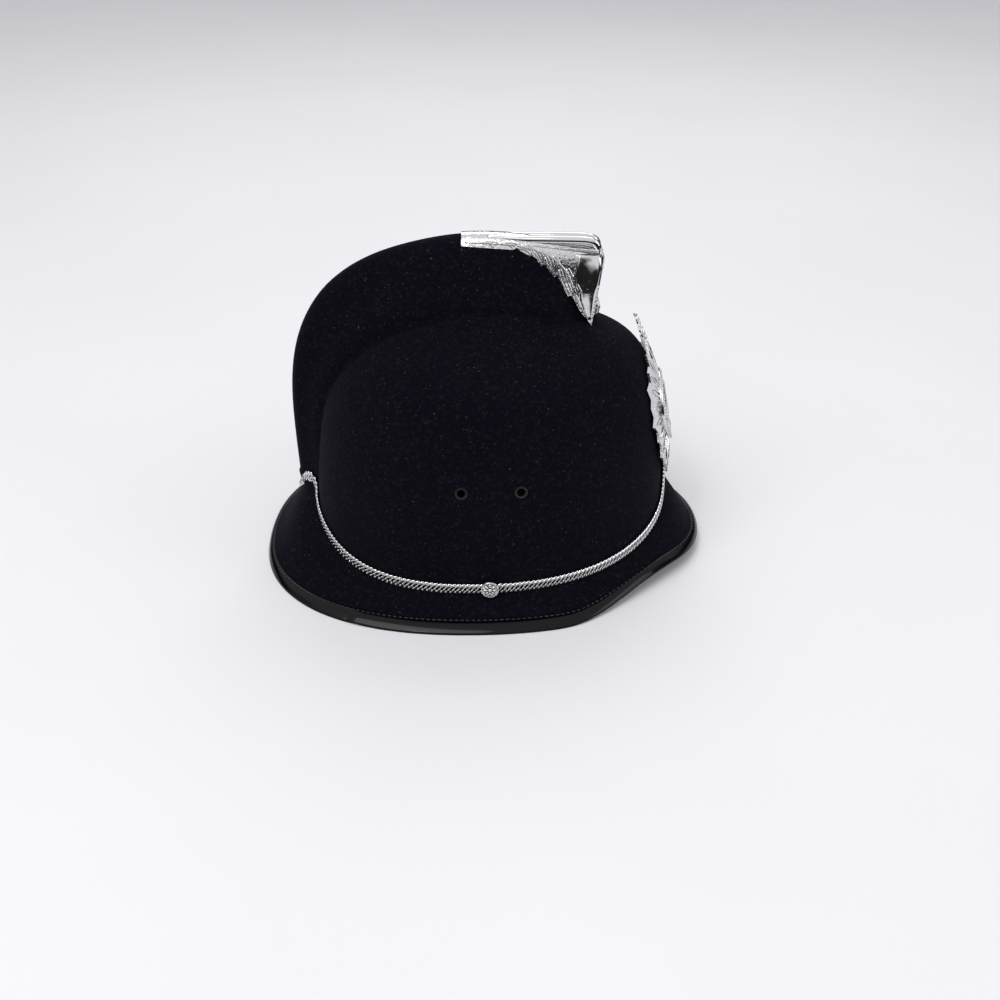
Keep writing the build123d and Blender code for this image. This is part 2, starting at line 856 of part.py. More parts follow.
def seated(shape):
    """Moves strap pieces from their own frame, with the stud axis at its origin, into the helmet."""
    return Pos(stud_run, 0, stud_height) * Rot(0, chin_droop, 0) * shape


def stud_hole():
    return rod(side_axis(0, 0, 1), stud_shank_radius + turning_clearance, -brim_half_width, brim_half_width)


buckle_plane = path_plane(buckle_angle)
keeper_plane = path_plane(buckle_angle - keeper_turn)


def beyond(distance):
    """Everything on the buckle's left, from this distance along the strap."""
    size = brim_reach * 2
    return buckle_plane * Pos(distance + size / 2, 0, 0) * Box(size, size, size)


bar_out = -buckle_bar_depth
end_out = chin_layer + chin_thickness + turning_clearance + buckle_bar_radius
arm_side = chin_width / 2 + turning_clearance + buckle_bar_radius
loop_radius = buckle_bar_radius + turning_clearance + bar_loop_thickness


def on_buckle(run, out):
    """A place on the buckle, along the strap and out from the head, as an upright axis."""
    return buckle_plane * Pos(run, 0, out) * Rot(90, 0, 0)


def bar(start, end, radius):
    """A round bar between two places in the buckle's own frame."""
    line = Line(start, end)
    return extrude(Plane(origin=start, z_dir=line % 0) * Circle(radius), amount=line.length)


def buckle_frame():
    corners = []
    for run, out in ((0, bar_out), (buckle_length, end_out)):
        for side in (-1, 1):
            corners.append((run, side * arm_side, out))
    frame = Part()
    for start, end in ((0, 1), (2, 3), (0, 2), (1, 3)):
        frame += bar(corners[start], corners[end], buckle_bar_radius)
    for corner in corners:
        frame += Pos(*corner) * Sphere(buckle_bar_radius)
    return buckle_plane * frame


def buckle_prong():
    """A wire tongue rolled round the bar, whose tip rests on the frame's far end."""
    eye_hole = buckle_bar_radius + fit_clearance
    eye = on_buckle(0, bar_out) * Cylinder(eye_hole + prong_eye_wall, prong_eye_width)
    rise = end_out - bar_out
    rest_gap = buckle_bar_radius + fit_clearance + prong_radius
    slope = tan(atan2(rise, buckle_length) + asin(rest_gap / hypot(rise, buckle_length)))
    tip_run = buckle_length + buckle_bar_radius
    tip = (tip_run, 0, bar_out + tip_run * slope)
    tongue = bar((0, 0, bar_out), tip, prong_radius) + Pos(*tip) * Sphere(prong_radius)
    prong = eye + buckle_plane * tongue
    return prong - on_buckle(0, bar_out) * Cylinder(eye_hole, chin_width)


def chin_strap_short():
    web = strap_layer(0) - beyond(0)
    web = web.solids().sort_by(Axis.Y)[0]
    loop = on_buckle(0, bar_out) * Cylinder(loop_radius, chin_width)
    web = web + loop - on_buckle(0, bar_out) * Cylinder(buckle_bar_radius + turning_clearance, chin_width * 2)
    slot = Box(loop_radius * 4, prong_eye_width + turning_clearance * 2, loop_radius * 4)
    return web - buckle_plane * Pos(loop_radius, 0, bar_out) * slot - stud_hole()


def chin_strap_long():
    web = strap_layer(chin_layer) & beyond(-strap_tail)
    middle = prong_slot_length / 2 - prong_slot_back
    slot = Box(prong_slot_length, 2 * (prong_radius + turning_clearance), strap_tail)
    web -= buckle_plane * Pos(middle, 0, 0) * slot
    for order in range(chin_hole_count):
        run = prong_slot_length + chin_hole_pitch * (order + 1)
        hole = buckle_plane * Pos(run, 0, 0) * Cylinder(chin_hole_radius, chin_reach / 2)
        web -= hole
    return web - stud_hole()


def strap_keeper():
    height = chin_width + 2 * keeper_room
    depth = chin_layer + chin_thickness + 2 * keeper_room
    loop = Box(keeper_width, height + 2 * keeper_thickness, depth + 2 * keeper_thickness)
    loop -= Box(keeper_width, height, depth)
    return keeper_plane * Pos(0, 0, (chin_layer + chin_thickness) / 2) * loop


save("chin_strap_short", seated(chin_strap_short()))
save("chin_strap_long", seated(chin_strap_long()))
save("buckle_frame", seated(buckle_frame()))
save("buckle_prong", seated(buckle_prong()))
save("strap_keeper", seated(strap_keeper()))
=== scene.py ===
# %% [markdown]
# # A custodian helmet with a raised comb
# The helmet is a moulded body under black wool felt. A patent leather strip binds the brim, a
# chrome curb chain runs round the foot of the crown, and a chrome leaf caps the front of the
# comb. This lesson dresses the plain solids: about half of them stay and only get a finish. The
# felt, the chain, the ornaments, the stitches and the soft parts are modelled new, in metres, in
# the same frame.

# %% Loading the frame
import math

import bmesh
import bpy
from mathutils import Matrix, Vector
from mathutils.bvhtree import BVHTree

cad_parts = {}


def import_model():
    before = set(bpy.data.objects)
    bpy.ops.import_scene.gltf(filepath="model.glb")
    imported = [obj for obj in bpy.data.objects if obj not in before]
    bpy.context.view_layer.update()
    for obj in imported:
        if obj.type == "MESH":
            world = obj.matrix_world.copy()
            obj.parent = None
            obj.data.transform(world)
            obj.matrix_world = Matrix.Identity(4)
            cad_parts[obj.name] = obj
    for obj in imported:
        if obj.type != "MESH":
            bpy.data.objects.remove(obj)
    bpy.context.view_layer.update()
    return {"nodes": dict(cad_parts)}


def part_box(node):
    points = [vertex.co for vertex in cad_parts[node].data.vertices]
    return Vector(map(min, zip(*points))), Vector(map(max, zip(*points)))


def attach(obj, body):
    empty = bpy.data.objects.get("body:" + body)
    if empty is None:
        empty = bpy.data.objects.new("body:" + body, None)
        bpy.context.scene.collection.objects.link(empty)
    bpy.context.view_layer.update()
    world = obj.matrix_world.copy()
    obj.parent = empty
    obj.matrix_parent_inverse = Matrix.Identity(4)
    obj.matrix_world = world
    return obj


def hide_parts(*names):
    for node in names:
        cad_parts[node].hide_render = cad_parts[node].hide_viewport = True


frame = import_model()
nodes = frame["nodes"]
mm = 0.001
up = Vector((0, 0, 1))
forward = Vector((1, 0, 0))
print("solids in the frame:", len(nodes))

# %% [markdown]
# ## Colours and shader nodes
# Colours are written as sRGB hex, as a colour picker shows them, but sockets take linear light.
# One small helper adds any shader node, sets its inputs and links what is already a socket. Each
# finish starts from the Principled shader, and its patterns read Object coordinates, so that
# they stay on the piece when it moves.

# %% Colour and node helpers
def colour(code):
    """Linear red, green, blue and alpha from an sRGB hex code."""
    parts = [int(code[i:i + 2], 16) / 255 for i in (0, 2, 4)]
    return tuple(p / 12.92 if p <= 0.04045 else ((p + 0.055) / 1.055) ** 2.4 for p in parts) + (1.0,)


def fill(tree, node, inputs):
    """Sets each named input to a value, or links it where the value is a socket."""
    for name, value in inputs.items():
        if isinstance(value, bpy.types.NodeSocket):
            tree.links.new(value, node.inputs[name])
        else:
            node.inputs[name].default_value = value


def add(tree, kind, inputs=None, **settings):
    """One shader node with its settings, input values and links."""
    node = tree.nodes.new(kind)
    for name, value in settings.items():
        setattr(node, name, value)
    fill(tree, node, inputs or {})
    return node


def new_finish(name, inputs):
    """A material, its node tree and its Principled shader with plain values set."""
    finish = bpy.data.materials.new(name)
    finish.use_nodes = True
    shader = finish.node_tree.nodes["Principled BSDF"]
    fill(finish.node_tree, shader, inputs)
    print("finish:", name)
    return finish, finish.node_tree, shader


def place_of(tree):
    return add(tree, "ShaderNodeTexCoord").outputs["Object"]


print("middle grey as linear light:", round(colour("808080")[0], 3))

# %% [markdown]
# ## Patterns
# Every finish is put together from a few patterns: soft noise and packed cells of a real size, a
# value stretched from one range to another, two heights added, two colours blended, and a bump of
# a real depth. Each is one node, and gives its output to be linked.

# %% Pattern helpers
def noise(tree, place, size, detail):
    return add(tree, "ShaderNodeTexNoise", {"Vector": place, "Scale": 1 / size, "Detail": detail}).outputs[0]


def cells(tree, place, size, output, feature="F1"):
    return add(tree, "ShaderNodeTexVoronoi", {"Vector": place, "Scale": 1 / size}, feature=feature).outputs[output]


def stretch(tree, value, start, end, low=0.0, high=1.0):
    return add(tree, "ShaderNodeMapRange", {0: value, 1: start, 2: end, 3: low, 4: high}).outputs[0]


def added(tree, first, second):
    return add(tree, "ShaderNodeMath", {0: first, 1: second}, operation="ADD").outputs[0]


def blend(tree, share, first, second):
    """Two colours mixed by a share, each a hex code or what another node gives."""
    pair = [colour(tone) if isinstance(tone, str) else tone for tone in (first, second)]
    return add(tree, "ShaderNodeMix", {0: share, 6: pair[0], 7: pair[1]}, data_type="RGBA").outputs[2]


def bump(tree, height, strength, depth):
    return add(tree, "ShaderNodeBump", {"Strength": strength, "Distance": depth, "Height": height}).outputs[0]


# %% [markdown]
# ## Black wool felt
# The body is covered with dense wool felt dyed nearly black. It scatters light softly, so it has
# no highlight but a faint sheen where the fibres stand up against the light. Lint sits on it as
# pale specks, over a faint warm dust. Noise at four real sizes makes patches, dust, lint and
# fibres. The fibres are drawn at 0.7 mm, coarser than real wool, so that they show.

# %% Wool felt
FIBRE = 0.7 * mm
LINT = 1.3 * mm
DUST = 2.6 * mm
PATCH = 45 * mm
FIBRE_HEIGHT = 0.35 * mm


def wool_felt():
    finish, tree, shader = new_finish("wool_felt", {
        "Roughness": 0.95, "Specular IOR Level": 0.06, "Sheen Weight": 0.035, "Sheen Roughness": 0.5,
        "Sheen Tint": colour("a19fc0"),
    })
    place = place_of(tree)
    tone = blend(tree, noise(tree, place, PATCH, 3.0), "04040d", "0a0912")
    dusted = stretch(tree, noise(tree, place, DUST, 3.0), 0.5, 0.75, 0.0, 0.6)
    specks = stretch(tree, noise(tree, place, LINT, 2.0), 0.69, 0.8, 0.0, 0.8)
    lit = blend(tree, specks, blend(tree, dusted, tone, "1b1819"), "55545a")
    fibres = noise(tree, place, FIBRE, 5.0)
    fill(tree, shader, {"Base Color": lit, "Normal": bump(tree, fibres, 0.55, FIBRE_HEIGHT)})
    return finish


felt = wool_felt()

# %% [markdown]
# ## Patent leather and strap leather
# Patent leather is leather under a thick clear lacquer: black, nearly a mirror, and slightly wavy
# from the skin beneath. The chin strap is plain dyed leather with a fine pressed grain, and the
# sweatband a tan one, darker where a head has rubbed it. The stitches are waxed linen thread,
# dark and slightly glossy, and the same recipe with a finer grain serves for them.

# %% Leathers
HIDE_TONE = 18 * mm
LACQUER_ROUGHNESS = 0.04


def leather(name, dark, light, roughness, grain, depth, coat=0.0, gloss=0.5):
    """Cells for the grain, broad waves under them, and a tone that changes over the hide."""
    finish, tree, shader = new_finish(name, {
        "Roughness": roughness, "Specular IOR Level": gloss, "Coat Weight": coat,
        "Coat Roughness": LACQUER_ROUGHNESS,
    })
    place = place_of(tree)
    tone = blend(tree, noise(tree, place, HIDE_TONE, 4.0), dark, light)
    pores = cells(tree, place, grain, 0, "DISTANCE_TO_EDGE")
    height = added(tree, pores, noise(tree, place, 5 * grain, 2.0))
    fill(tree, shader, {"Base Color": tone, "Normal": bump(tree, height, 0.5, depth)})
    return finish


patent = leather("patent_leather", "020204", "05050a", 0.25, 1.6 * mm, 0.03 * mm, coat=0.3, gloss=0.06)
strap_leather = leather("black_strap_leather", "0b0a0a", "17161a", 0.42, 0.9 * mm, 0.08 * mm)
waxed_thread = leather("waxed_thread", "1c1c22", "2a2a31", 0.35, 0.3 * mm, 0.03 * mm)
tan_leather = leather("tan_sweatband_leather", "6b4226", "9a6b42", 0.5, 1.1 * mm, 0.08 * mm)

# %% [markdown]
# ## Metals
# The chain, the comb end and the plate are stamped brass under bright chrome. Polished chrome has
# a low roughness that varies a little with handling, and its ripples come from the pressed sheet.
# Where leaves and rays are chased with punches, the hollows are close and break the reflection up.
# Nuts, washers and rivets are plain brass, and the buckle is nickel-plated steel.

# %% Metals
SMUDGE = 14 * mm


def metal(name, code, low, high, ripple, depth):
    """A metal whose roughness drifts from low to high, over ripples of a given width and depth."""
    finish, tree, shader = new_finish(name, {"Base Color": colour(code), "Metallic": 1.0})
    place = place_of(tree)
    rough = stretch(tree, noise(tree, place, SMUDGE, 4.0), 0.35, 0.7, low, high)
    dents = noise(tree, place, ripple, 2.0)
    fill(tree, shader, {"Roughness": rough, "Normal": bump(tree, dents, 0.4, depth)})
    return finish


chrome = metal("bright_chrome", "d6d6d7", 0.05, 0.13, 5 * mm, 0.06 * mm)
chased_chrome = metal("chased_chrome", "d6d6d7", 0.06, 0.16, 1.7 * mm, 0.7 * mm)
brass = metal("turned_brass", "b8904a", 0.22, 0.36, 2 * mm, 0.02 * mm)
nickel = metal("nickel_plate", "bcb8ae", 0.16, 0.28, 2 * mm, 0.02 * mm)

# %% [markdown]
# ## Enamel, foam, cork and plastic
# The eyelets are enamelled black. Inside, the liner is expanded foam with its pressed beads, the
# spacers are ground cork with dark flecks, and the headband is moulded plastic. Packed cells of
# different size, each with its own tone and a groove round it, give all four.

# %% Grained finishes
GRAIN_GROOVE = 0.12


def grainy(name, dark, light, roughness, grain, depth):
    """Packed grains, such as foam beads or cork crumbs, each with its own tone."""
    finish, tree, shader = new_finish(name, {"Roughness": roughness})
    place = place_of(tree)
    tone = add(tree, "ShaderNodeSeparateColor", {0: cells(tree, place, grain, "Color")}).outputs[0]
    groove = stretch(tree, cells(tree, place, grain, 0, "DISTANCE_TO_EDGE"), 0.0, GRAIN_GROOVE)
    fill(tree, shader, {"Base Color": blend(tree, tone, dark, light), "Normal": bump(tree, groove, 0.6, depth)})
    return finish


foam = grainy("expanded_foam", "cfccc2", "e4e1d8", 0.85, 3.2 * mm, 0.25 * mm)
cork = grainy("ground_cork", "6e4727", "bd8f5e", 0.88, 2.1 * mm, 0.2 * mm)
enamel = grainy("black_enamel", "08080a", "0e0e10", 0.3, 4 * mm, 0.01 * mm)
plastic = grainy("moulded_plastic", "121214", "19191c", 0.48, 0.9 * mm, 0.03 * mm)

# %% [markdown]
# ## Webbing and lining
# The straps over the head are woven tape and the lining is glazed cotton. A checker of two
# heights stands for a weave of 1.2 mm in the webbing and of 0.6 mm in the lining. The crossing
# straps have their weave turned with them.

# %% Woven finishes
WEBBING_THREAD = 1.2 * mm
COTTON_THREAD = 0.6 * mm
WEAVE_DEPTH = 0.2 * mm


def woven(name, dark, light, thread, turn=0.0):
    """A checker of threads with a little fuzz, turned about the upright axis."""
    finish, tree, shader = new_finish(name, {"Roughness": 0.85, "Sheen Weight": 0.15})
    place = add(tree, "ShaderNodeMapping", {"Vector": place_of(tree), "Rotation": (0.0, 0.0, turn)}).outputs[0]
    check = add(tree, "ShaderNodeTexChecker", {"Vector": place, "Scale": 1 / thread}).outputs[1]
    height = added(tree, check, noise(tree, place, 2 * thread, 4.0))
    tone = blend(tree, check, dark, light)
    fill(tree, shader, {"Base Color": tone, "Normal": bump(tree, height, 0.5, WEAVE_DEPTH)})
    return finish


webbing = woven("woven_webbing", "232320", "38372f", WEBBING_THREAD)
cross_webbing = woven("woven_cross_webbing", "232320", "38372f", WEBBING_THREAD, math.radians(60))
glazed_cotton = woven("glazed_cotton", "0b0b0c", "151517", COTTON_THREAD)

# %% [markdown]
# ## Solids that stay
# Turned, moulded and stamped pieces are right as plain solids. They keep their mesh, which is
# never changed, and only get a finish. Three of them also carry relief that is made further down,
# and every other solid is replaced.

# %% Finishes for the solids that stay
kept = {
    chased_chrome: ("comb_end", "plate_finial", "helmet_plate"),
    brass: ("stud_sleeves", "stud_washers", "comb_end_nuts", "plate_nuts", "cradle_rivets", "crown_button"),
    enamel: ("vent_eyelets",),
    foam: ("impact_liner",),
    cork: ("headband_spacers",),
    plastic: ("headband",),
    nickel: ("buckle_frame", "buckle_prong"),
}
for finish, names in kept.items():
    for name in names:
        nodes[name].data.materials.clear()
        nodes[name].data.materials.append(finish)
print("solids with a new finish:", sum(len(names) for names in kept.values()))

# %% [markdown]
# ## Helpers for new pieces
# A new piece starts in bmesh. When it is done, it becomes an object at the origin, rides on its body,
# takes its finish and replaces the plain solid that it stands for. Small shapes that repeat are
# made once and stamped where they are needed.

# %% Piece helpers
def finish_piece(bm, name, finish, body="helmet", replaces=(), smooth=True):
    """Makes the piece's object, puts it on its body and hides the solids that it replaces."""
    mesh = bpy.data.meshes.new(name)
    bm.to_mesh(mesh)
    bm.free()
    mesh.polygons.foreach_set("use_smooth", [smooth] * len(mesh.polygons))
    mesh.materials.append(finish)
    piece = bpy.data.objects.new(name, mesh)
    bpy.context.collection.objects.link(piece)
    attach(piece, body)
    if replaces:
        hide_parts(*replaces)
    print(f"{name}: {len(mesh.polygons)} faces")
    return piece


def as_mesh(bm, name):
    mesh = bpy.data.meshes.new(name)
    bm.to_mesh(mesh)
    bm.free()
    return mesh


def stamp(bm, mesh, place):
    """Adds a copy of a small mesh at a place."""
    shape = mesh.copy()
    shape.transform(place)
    bm.from_mesh(shape)
    bpy.data.meshes.remove(shape)


# %% [markdown]
# ## Places and directions
# Every ornament lies on a surface that is already there. A search tree over a solid's faces
# answers where a straight line meets it, and a matrix built from the line's direction and the
# surface's outward direction turns a small shape to lie there.

# %% Place helpers
def outward(turn):
    """The level direction at an angle round the helmet."""
    return Vector((math.cos(turn), math.sin(turn), 0))


def sized(length, width, height):
    return Matrix.Diagonal((length, width, height, 1))


def frame_at(place, along, out):
    """A matrix whose X runs along a line and whose Z points out of the surface."""
    across = out.cross(along).normalized()
    ahead = across.cross(out).normalized()
    rotation = Matrix((ahead, across, out.normalized())).transposed()
    return Matrix.Translation(place) @ rotation.to_4x4()


def search_tree(name):
    mesh = nodes[name].data
    return BVHTree.FromPolygons([v.co.copy() for v in mesh.vertices], [tuple(p.vertices) for p in mesh.polygons])


print("outward at 90 degrees:", outward(math.pi / 2).to_tuple(3))

# %% [markdown]
# ## Turned shapes, tubes and skins
# Three shapes make most ornaments: a profile turned as on a lathe, a tube drawn along a line of
# places, and a skin laid over rows of places. Balls are kept in two sizes of mesh, a plain one for
# the hundreds of beads and a finer one for petals and leaves.

# %% Shape helpers
WELD = 1e-5
SEAM = 1e-6
UPRIGHT = 0.98


def lathe(profile, steps):
    """A solid turned round Z from (radius, height) places that start and end on the axis."""
    bm = bmesh.new()
    verts = [bm.verts.new((radius, 0, height)) for radius, height in profile]
    edges = [bm.edges.new(pair) for pair in zip(verts, verts[1:])]
    bmesh.ops.spin(bm, geom=verts + edges, axis=up, cent=(0, 0, 0), angle=2 * math.pi, steps=steps,
                   use_merge=True)
    bmesh.ops.remove_doubles(bm, verts=bm.verts, dist=SEAM)
    bmesh.ops.recalc_face_normals(bm, faces=bm.faces)
    return bm


def tube(bm, places, radii, sides=8, widths=None):
    """A tube through places, with its own radius at each, and its own half-width where it is oval."""
    rings = []
    for index, (place, radius, width) in enumerate(zip(places, radii, widths or radii)):
        before = places[max(index - 1, 0)]
        after = places[min(index + 1, len(places) - 1)]
        along = (after - before).normalized()
        side = along.orthogonal() if abs(along.z) > UPRIGHT else along.cross(up)
        turn = frame_at(place, side, along) @ sized(width, radius, 1)
        ring = bmesh.ops.create_circle(bm, segments=sides, radius=1, matrix=turn)["verts"]
        rings.append(ring)
    for low, high in zip(rings, rings[1:]):
        for step in range(sides):
            after = (step + 1) % sides
            bm.faces.new((low[step], low[after], high[after], high[step]))
    bm.faces.new(rings[0][::-1])
    bm.faces.new(rings[-1])


def skin(bm, rows, closed=False):
    """A sheet over rows of places, each row with as many places as the next."""
    lines = [[bm.verts.new(place) for place in row] for row in rows]
    for low, high in zip(lines, lines[1:] + lines[:1] if closed else lines[1:]):
        for step in range(len(low) - 1):
            bm.faces.new((low[step], high[step], high[step + 1], low[step + 1]))


def ball(segments, rings):
    bm = bmesh.new()
    bmesh.ops.create_uvsphere(bm, u_segments=segments, v_segments=rings, radius=1)
    return as_mesh(bm, "ball")


small_ball = ball(8, 6)
smooth_ball = ball(16, 10)
print("faces of the two balls:", len(small_ball.polygons), len(smooth_ball.polygons))

# %% [markdown]
# ## The curb chain
# The band is a curb chain: twisted oval links that lie flat and lean the same way, so that it
# looks like a slanted rope. The plain strip shows where it runs: level rays from outside meet the
# strip at many heights, and the middle one of the places that they find lies on the band's line.
# Averaging over the neighbours takes the small steps out of that line.

# %% Measuring the band's line
band_tree = search_tree("chain_band")
BAND_STEPS = 540
BAND_LOW = 8 * mm
BAND_HIGH = 64 * mm
BAND_NEAR = 80 * mm
BAND_LEVEL = 0.5 * mm
BAND_FACING = 0.3
SMOOTH_REACH = 4
FAR = 0.3


def band_line():
    """Places and outward directions along the middle of the strip."""
    line = []
    for step in range(BAND_STEPS):
        out = outward(2 * math.pi * step / BAND_STEPS)
        hits = []
        for level in range(int((BAND_HIGH - BAND_LOW) / BAND_LEVEL)):
            start = out * FAR + up * (BAND_LOW + level * BAND_LEVEL)
            place, normal = band_tree.ray_cast(start, -out)[:2]
            if place and place.dot(out) > BAND_NEAR and normal.dot(out) > BAND_FACING:
                hits.append((place, normal))
        if hits:
            line.append(hits[len(hits) // 2])
    return line


def smoothed(line):
    """The same line with each place and direction averaged over its neighbours."""
    count = len(line)
    result = []
    for index in range(count):
        near = [line[(index + step) % count] for step in range(-SMOOTH_REACH, SMOOTH_REACH + 1)]
        place = sum((p for p, n in near), Vector()) / len(near)
        normal = sum((n for p, n in near), Vector()).normalized()
        result.append((place, normal))
    return result


def spaced(line, pitch):
    """Places at an even pitch along a closed line, with their directions."""
    loop = line + line[:1]
    lengths = [(b[0] - a[0]).length for a, b in zip(loop, loop[1:])]
    count = round(sum(lengths) / pitch)
    step = sum(lengths) / count
    result = []
    travelled = 0.0
    target = 0.0
    for (a, b), length in zip(zip(loop, loop[1:]), lengths):
        while target < travelled + length and len(result) < count:
            share = (target - travelled) / length
            place = a[0].lerp(b[0], share)
            normal = a[1].lerp(b[1], share).normalized()
            result.append((place, normal, (b[0] - a[0]).normalized()))
            target += step
        travelled += length
    return result


chain_line = smoothed(band_line())
print("places along the band:", len(chain_line))

# %% [markdown]
# ## The links
# One link is a ring of round wire: a circle spun round an axis, pressed oval, leaned, and tilted
# so that each link passes under the next. Stamped at an even pitch, about 250 of them make the
# rope, and each is sunk a little into the strip's place, so that none stands off the felt.

# %% The chain's links
LINK_PITCH = 3.0 * mm
LINK_LONG = 3.3 * mm
LINK_SHORT = 1.55 * mm
LINK_WIRE = 0.85 * mm
LINK_SINK = 0.6
WIRE_SIDES = 6
RING_STEPS = 14
LINK_LEAN = math.radians(54)
LINK_TILT = math.radians(20)


def link_mesh():
    bm = bmesh.new()
    ring = bmesh.ops.create_circle(bm, segments=WIRE_SIDES, radius=LINK_WIRE,
                                   matrix=Matrix.Rotation(math.pi / 2, 4, "X"))
    bmesh.ops.translate(bm, verts=ring["verts"], vec=(LINK_SHORT, 0, 0))
    bmesh.ops.spin(bm, geom=bm.verts[:] + bm.edges[:], axis=up, cent=(0, 0, 0), angle=2 * math.pi,
                   steps=RING_STEPS, use_merge=True)
    for vert in bm.verts:
        vert.co.x *= LINK_LONG / LINK_SHORT
    bmesh.ops.recalc_face_normals(bm, faces=bm.faces)
    turn = Matrix.Rotation(LINK_LEAN, 4, "Z") @ Matrix.Rotation(LINK_TILT, 4, "X")
    bmesh.ops.transform(bm, matrix=turn, verts=bm.verts)
    return as_mesh(bm, "link")


def chain():
    link = link_mesh()
    bm = bmesh.new()
    for place, normal, along in spaced(chain_line, LINK_PITCH):
        stamp(bm, link, frame_at(place - normal * LINK_WIRE * LINK_SINK, along, normal))
    finish_piece(bm, "curb_chain", chrome, replaces=("chain_band",))


chain()

# %% [markdown]
# ## The side rosettes
# A small chrome flower covers the stud at each side. It has a dished rim, a ring of beads, eight
# round petals and a domed middle. The dish is turned from a profile in shares of its radius, and
# beads, petals and middle are balls pressed flat. One mesh is stamped on both sides.

# %% Side rosettes
ROSETTE = 5.9 * mm
ROSETTE_SEAT = 3.15 * mm
ROSETTE_PROFILE = ((0, 0), (0.97, 0), (1, 0.25), (0.95, 0.36), (0.84, 0.30), (0.6, 0.22), (0.25, 0.30), (0, 0.32))
ROSETTE_STEPS = 40
PETALS = 8
PETAL_LIFT = math.radians(12)
RIM_BEADS = 26


def rosette_mesh():
    r = ROSETTE
    bm = lathe([(r * radius, r * height) for radius, height in ROSETTE_PROFILE], ROSETTE_STEPS)
    for bead in range(RIM_BEADS):
        turn = Matrix.Rotation(2 * math.pi * bead / RIM_BEADS, 4, "Z")
        stamp(bm, small_ball, turn @ Matrix.Translation((r * 0.9, 0, 0.36 * r)) @ sized(r * 0.09, r * 0.09, r * 0.08))
    for petal in range(PETALS):
        turn = Matrix.Rotation(2 * math.pi * petal / PETALS, 4, "Z")
        lift = Matrix.Translation((r * 0.52, 0, 0.36 * r)) @ Matrix.Rotation(PETAL_LIFT, 4, "Y")
        stamp(bm, smooth_ball, turn @ lift @ sized(r * 0.27, r * 0.17, r * 0.16))
    stamp(bm, smooth_ball, Matrix.Translation((0, 0, 0.40 * r)) @ sized(r * 0.24, r * 0.24, r * 0.2))
    return as_mesh(bm, "rosette")


def rosettes():
    rosette = rosette_mesh()
    low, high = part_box("side_rosettes")
    seat = (high.y - low.y) / 2 - ROSETTE_SEAT
    bm = bmesh.new()
    for side in (-1, 1):
        middle = Vector(((low.x + high.x) / 2, side * seat, (low.z + high.z) / 2))
        stamp(bm, rosette, frame_at(middle, forward, Vector((0, side, 0))))
    finish_piece(bm, "rosettes", chrome, replaces=("side_rosettes",))


rosettes()

# %% [markdown]
# ## The felt body
# Below the plate the real felt runs from the crown into the brim in one hollow curve. The plain
# solid swells there, so the body and its lining are copies whose places in front are drawn in to
# that curve. The curve is given in millimetres, as distances from the helmet's middle at some
# heights. To the sides it falls back, round low on the brim and as a soft ridge below the plate.

# %% Drawing in the front
FOOT_HEIGHTS = [26, 30, 34, 38, 42, 46, 50, 54]
FOOT_REACHES = [138.0, 135.7, 133.3, 130.9, 128.4, 126.0, 123.9, 123.0]
FOOT_FALLS = [4.9, 6.0, 7.8, 8.0, 5.8, 3.7, 1.9, 1.3]
FOOT_POWERS = [2, 2, 2, 1.4, 1.1, 1.1, 1.1, 1.1]
FOOT_TURN = math.radians(12)
WALL = 3 * mm
LINING_GAP = 0.05 * mm
LINING_THICK = 0.8 * mm


def between(heights, values, height):
    """The value at a height, between the values given at the heights around it."""
    for low, high, first, second in zip(heights, heights[1:], values, values[1:]):
        if low <= height <= high:
            return first + (second - first) * (height - low) / (high - low)


def drawn_in(bm, outer_depth, inner_depth):
    """Moves places in front of the foot's curve back to it, each wall's faces to their own depth."""
    bm.normal_update()
    for vert in bm.verts:
        turn = math.atan2(vert.co.y, vert.co.x)
        height = vert.co.z / mm
        if abs(turn) < FOOT_TURN and FOOT_HEIGHTS[0] < height < FOOT_HEIGHTS[-1]:
            out = outward(turn)
            reach = between(FOOT_HEIGHTS, FOOT_REACHES, height)
            power = between(FOOT_HEIGHTS, FOOT_POWERS, height)
            reach -= between(FOOT_HEIGHTS, FOOT_FALLS, height) * abs(turn / FOOT_TURN) ** power
            depth = outer_depth if vert.normal.dot(out) > 0 else inner_depth
            vert.co -= out * max(vert.co.dot(out) - reach * mm + depth, 0)


print("the foot's curve spans", FOOT_HEIGHTS[0], "to", FOOT_HEIGHTS[-1], "mm")

# %% [markdown]
# ## The felt's copy
# In the plain mesh every face has corners of its own, so the copy is welded before its front is
# drawn in, and each wall moves as one sheet. Smooth shading then makes the felt look soft, and
# only the edges between walls that meet at more than 35 degrees stay sharp.

# %% The felt body
FELT_CORNER = math.radians(35)


def felt_body():
    """A welded copy of the shell with its corners kept sharp and the rest shaded smooth."""
    bm = bmesh.new()
    bm.from_mesh(nodes["felt_shell"].data)
    bmesh.ops.remove_doubles(bm, verts=bm.verts, dist=WELD)
    drawn_in(bm, 0, WALL)
    body = finish_piece(bm, "moulded_felt_body", felt, replaces=("felt_shell",))
    body.data.set_sharp_from_angle(angle=FELT_CORNER)


felt_body()

# %% [markdown]
# ## The brim's edge
# The binding needs two lines round the brim. Upright rays find the strip's upper edge, as the
# first place, going outwards, where it is higher than the felt, and level rays find its outermost
# place. Both lines are smoothed as the chain's was.

# %% Finding the strip's edges
binding_tree = search_tree("brim_binding")
felt_tree = search_tree("felt_shell")
EDGE_STEPS = 360
EDGE_NEAR = 88 * mm
EDGE_FAR = 158 * mm
EDGE_STRIDE = 0.5 * mm
EDGE_LEVEL = 0.25 * mm


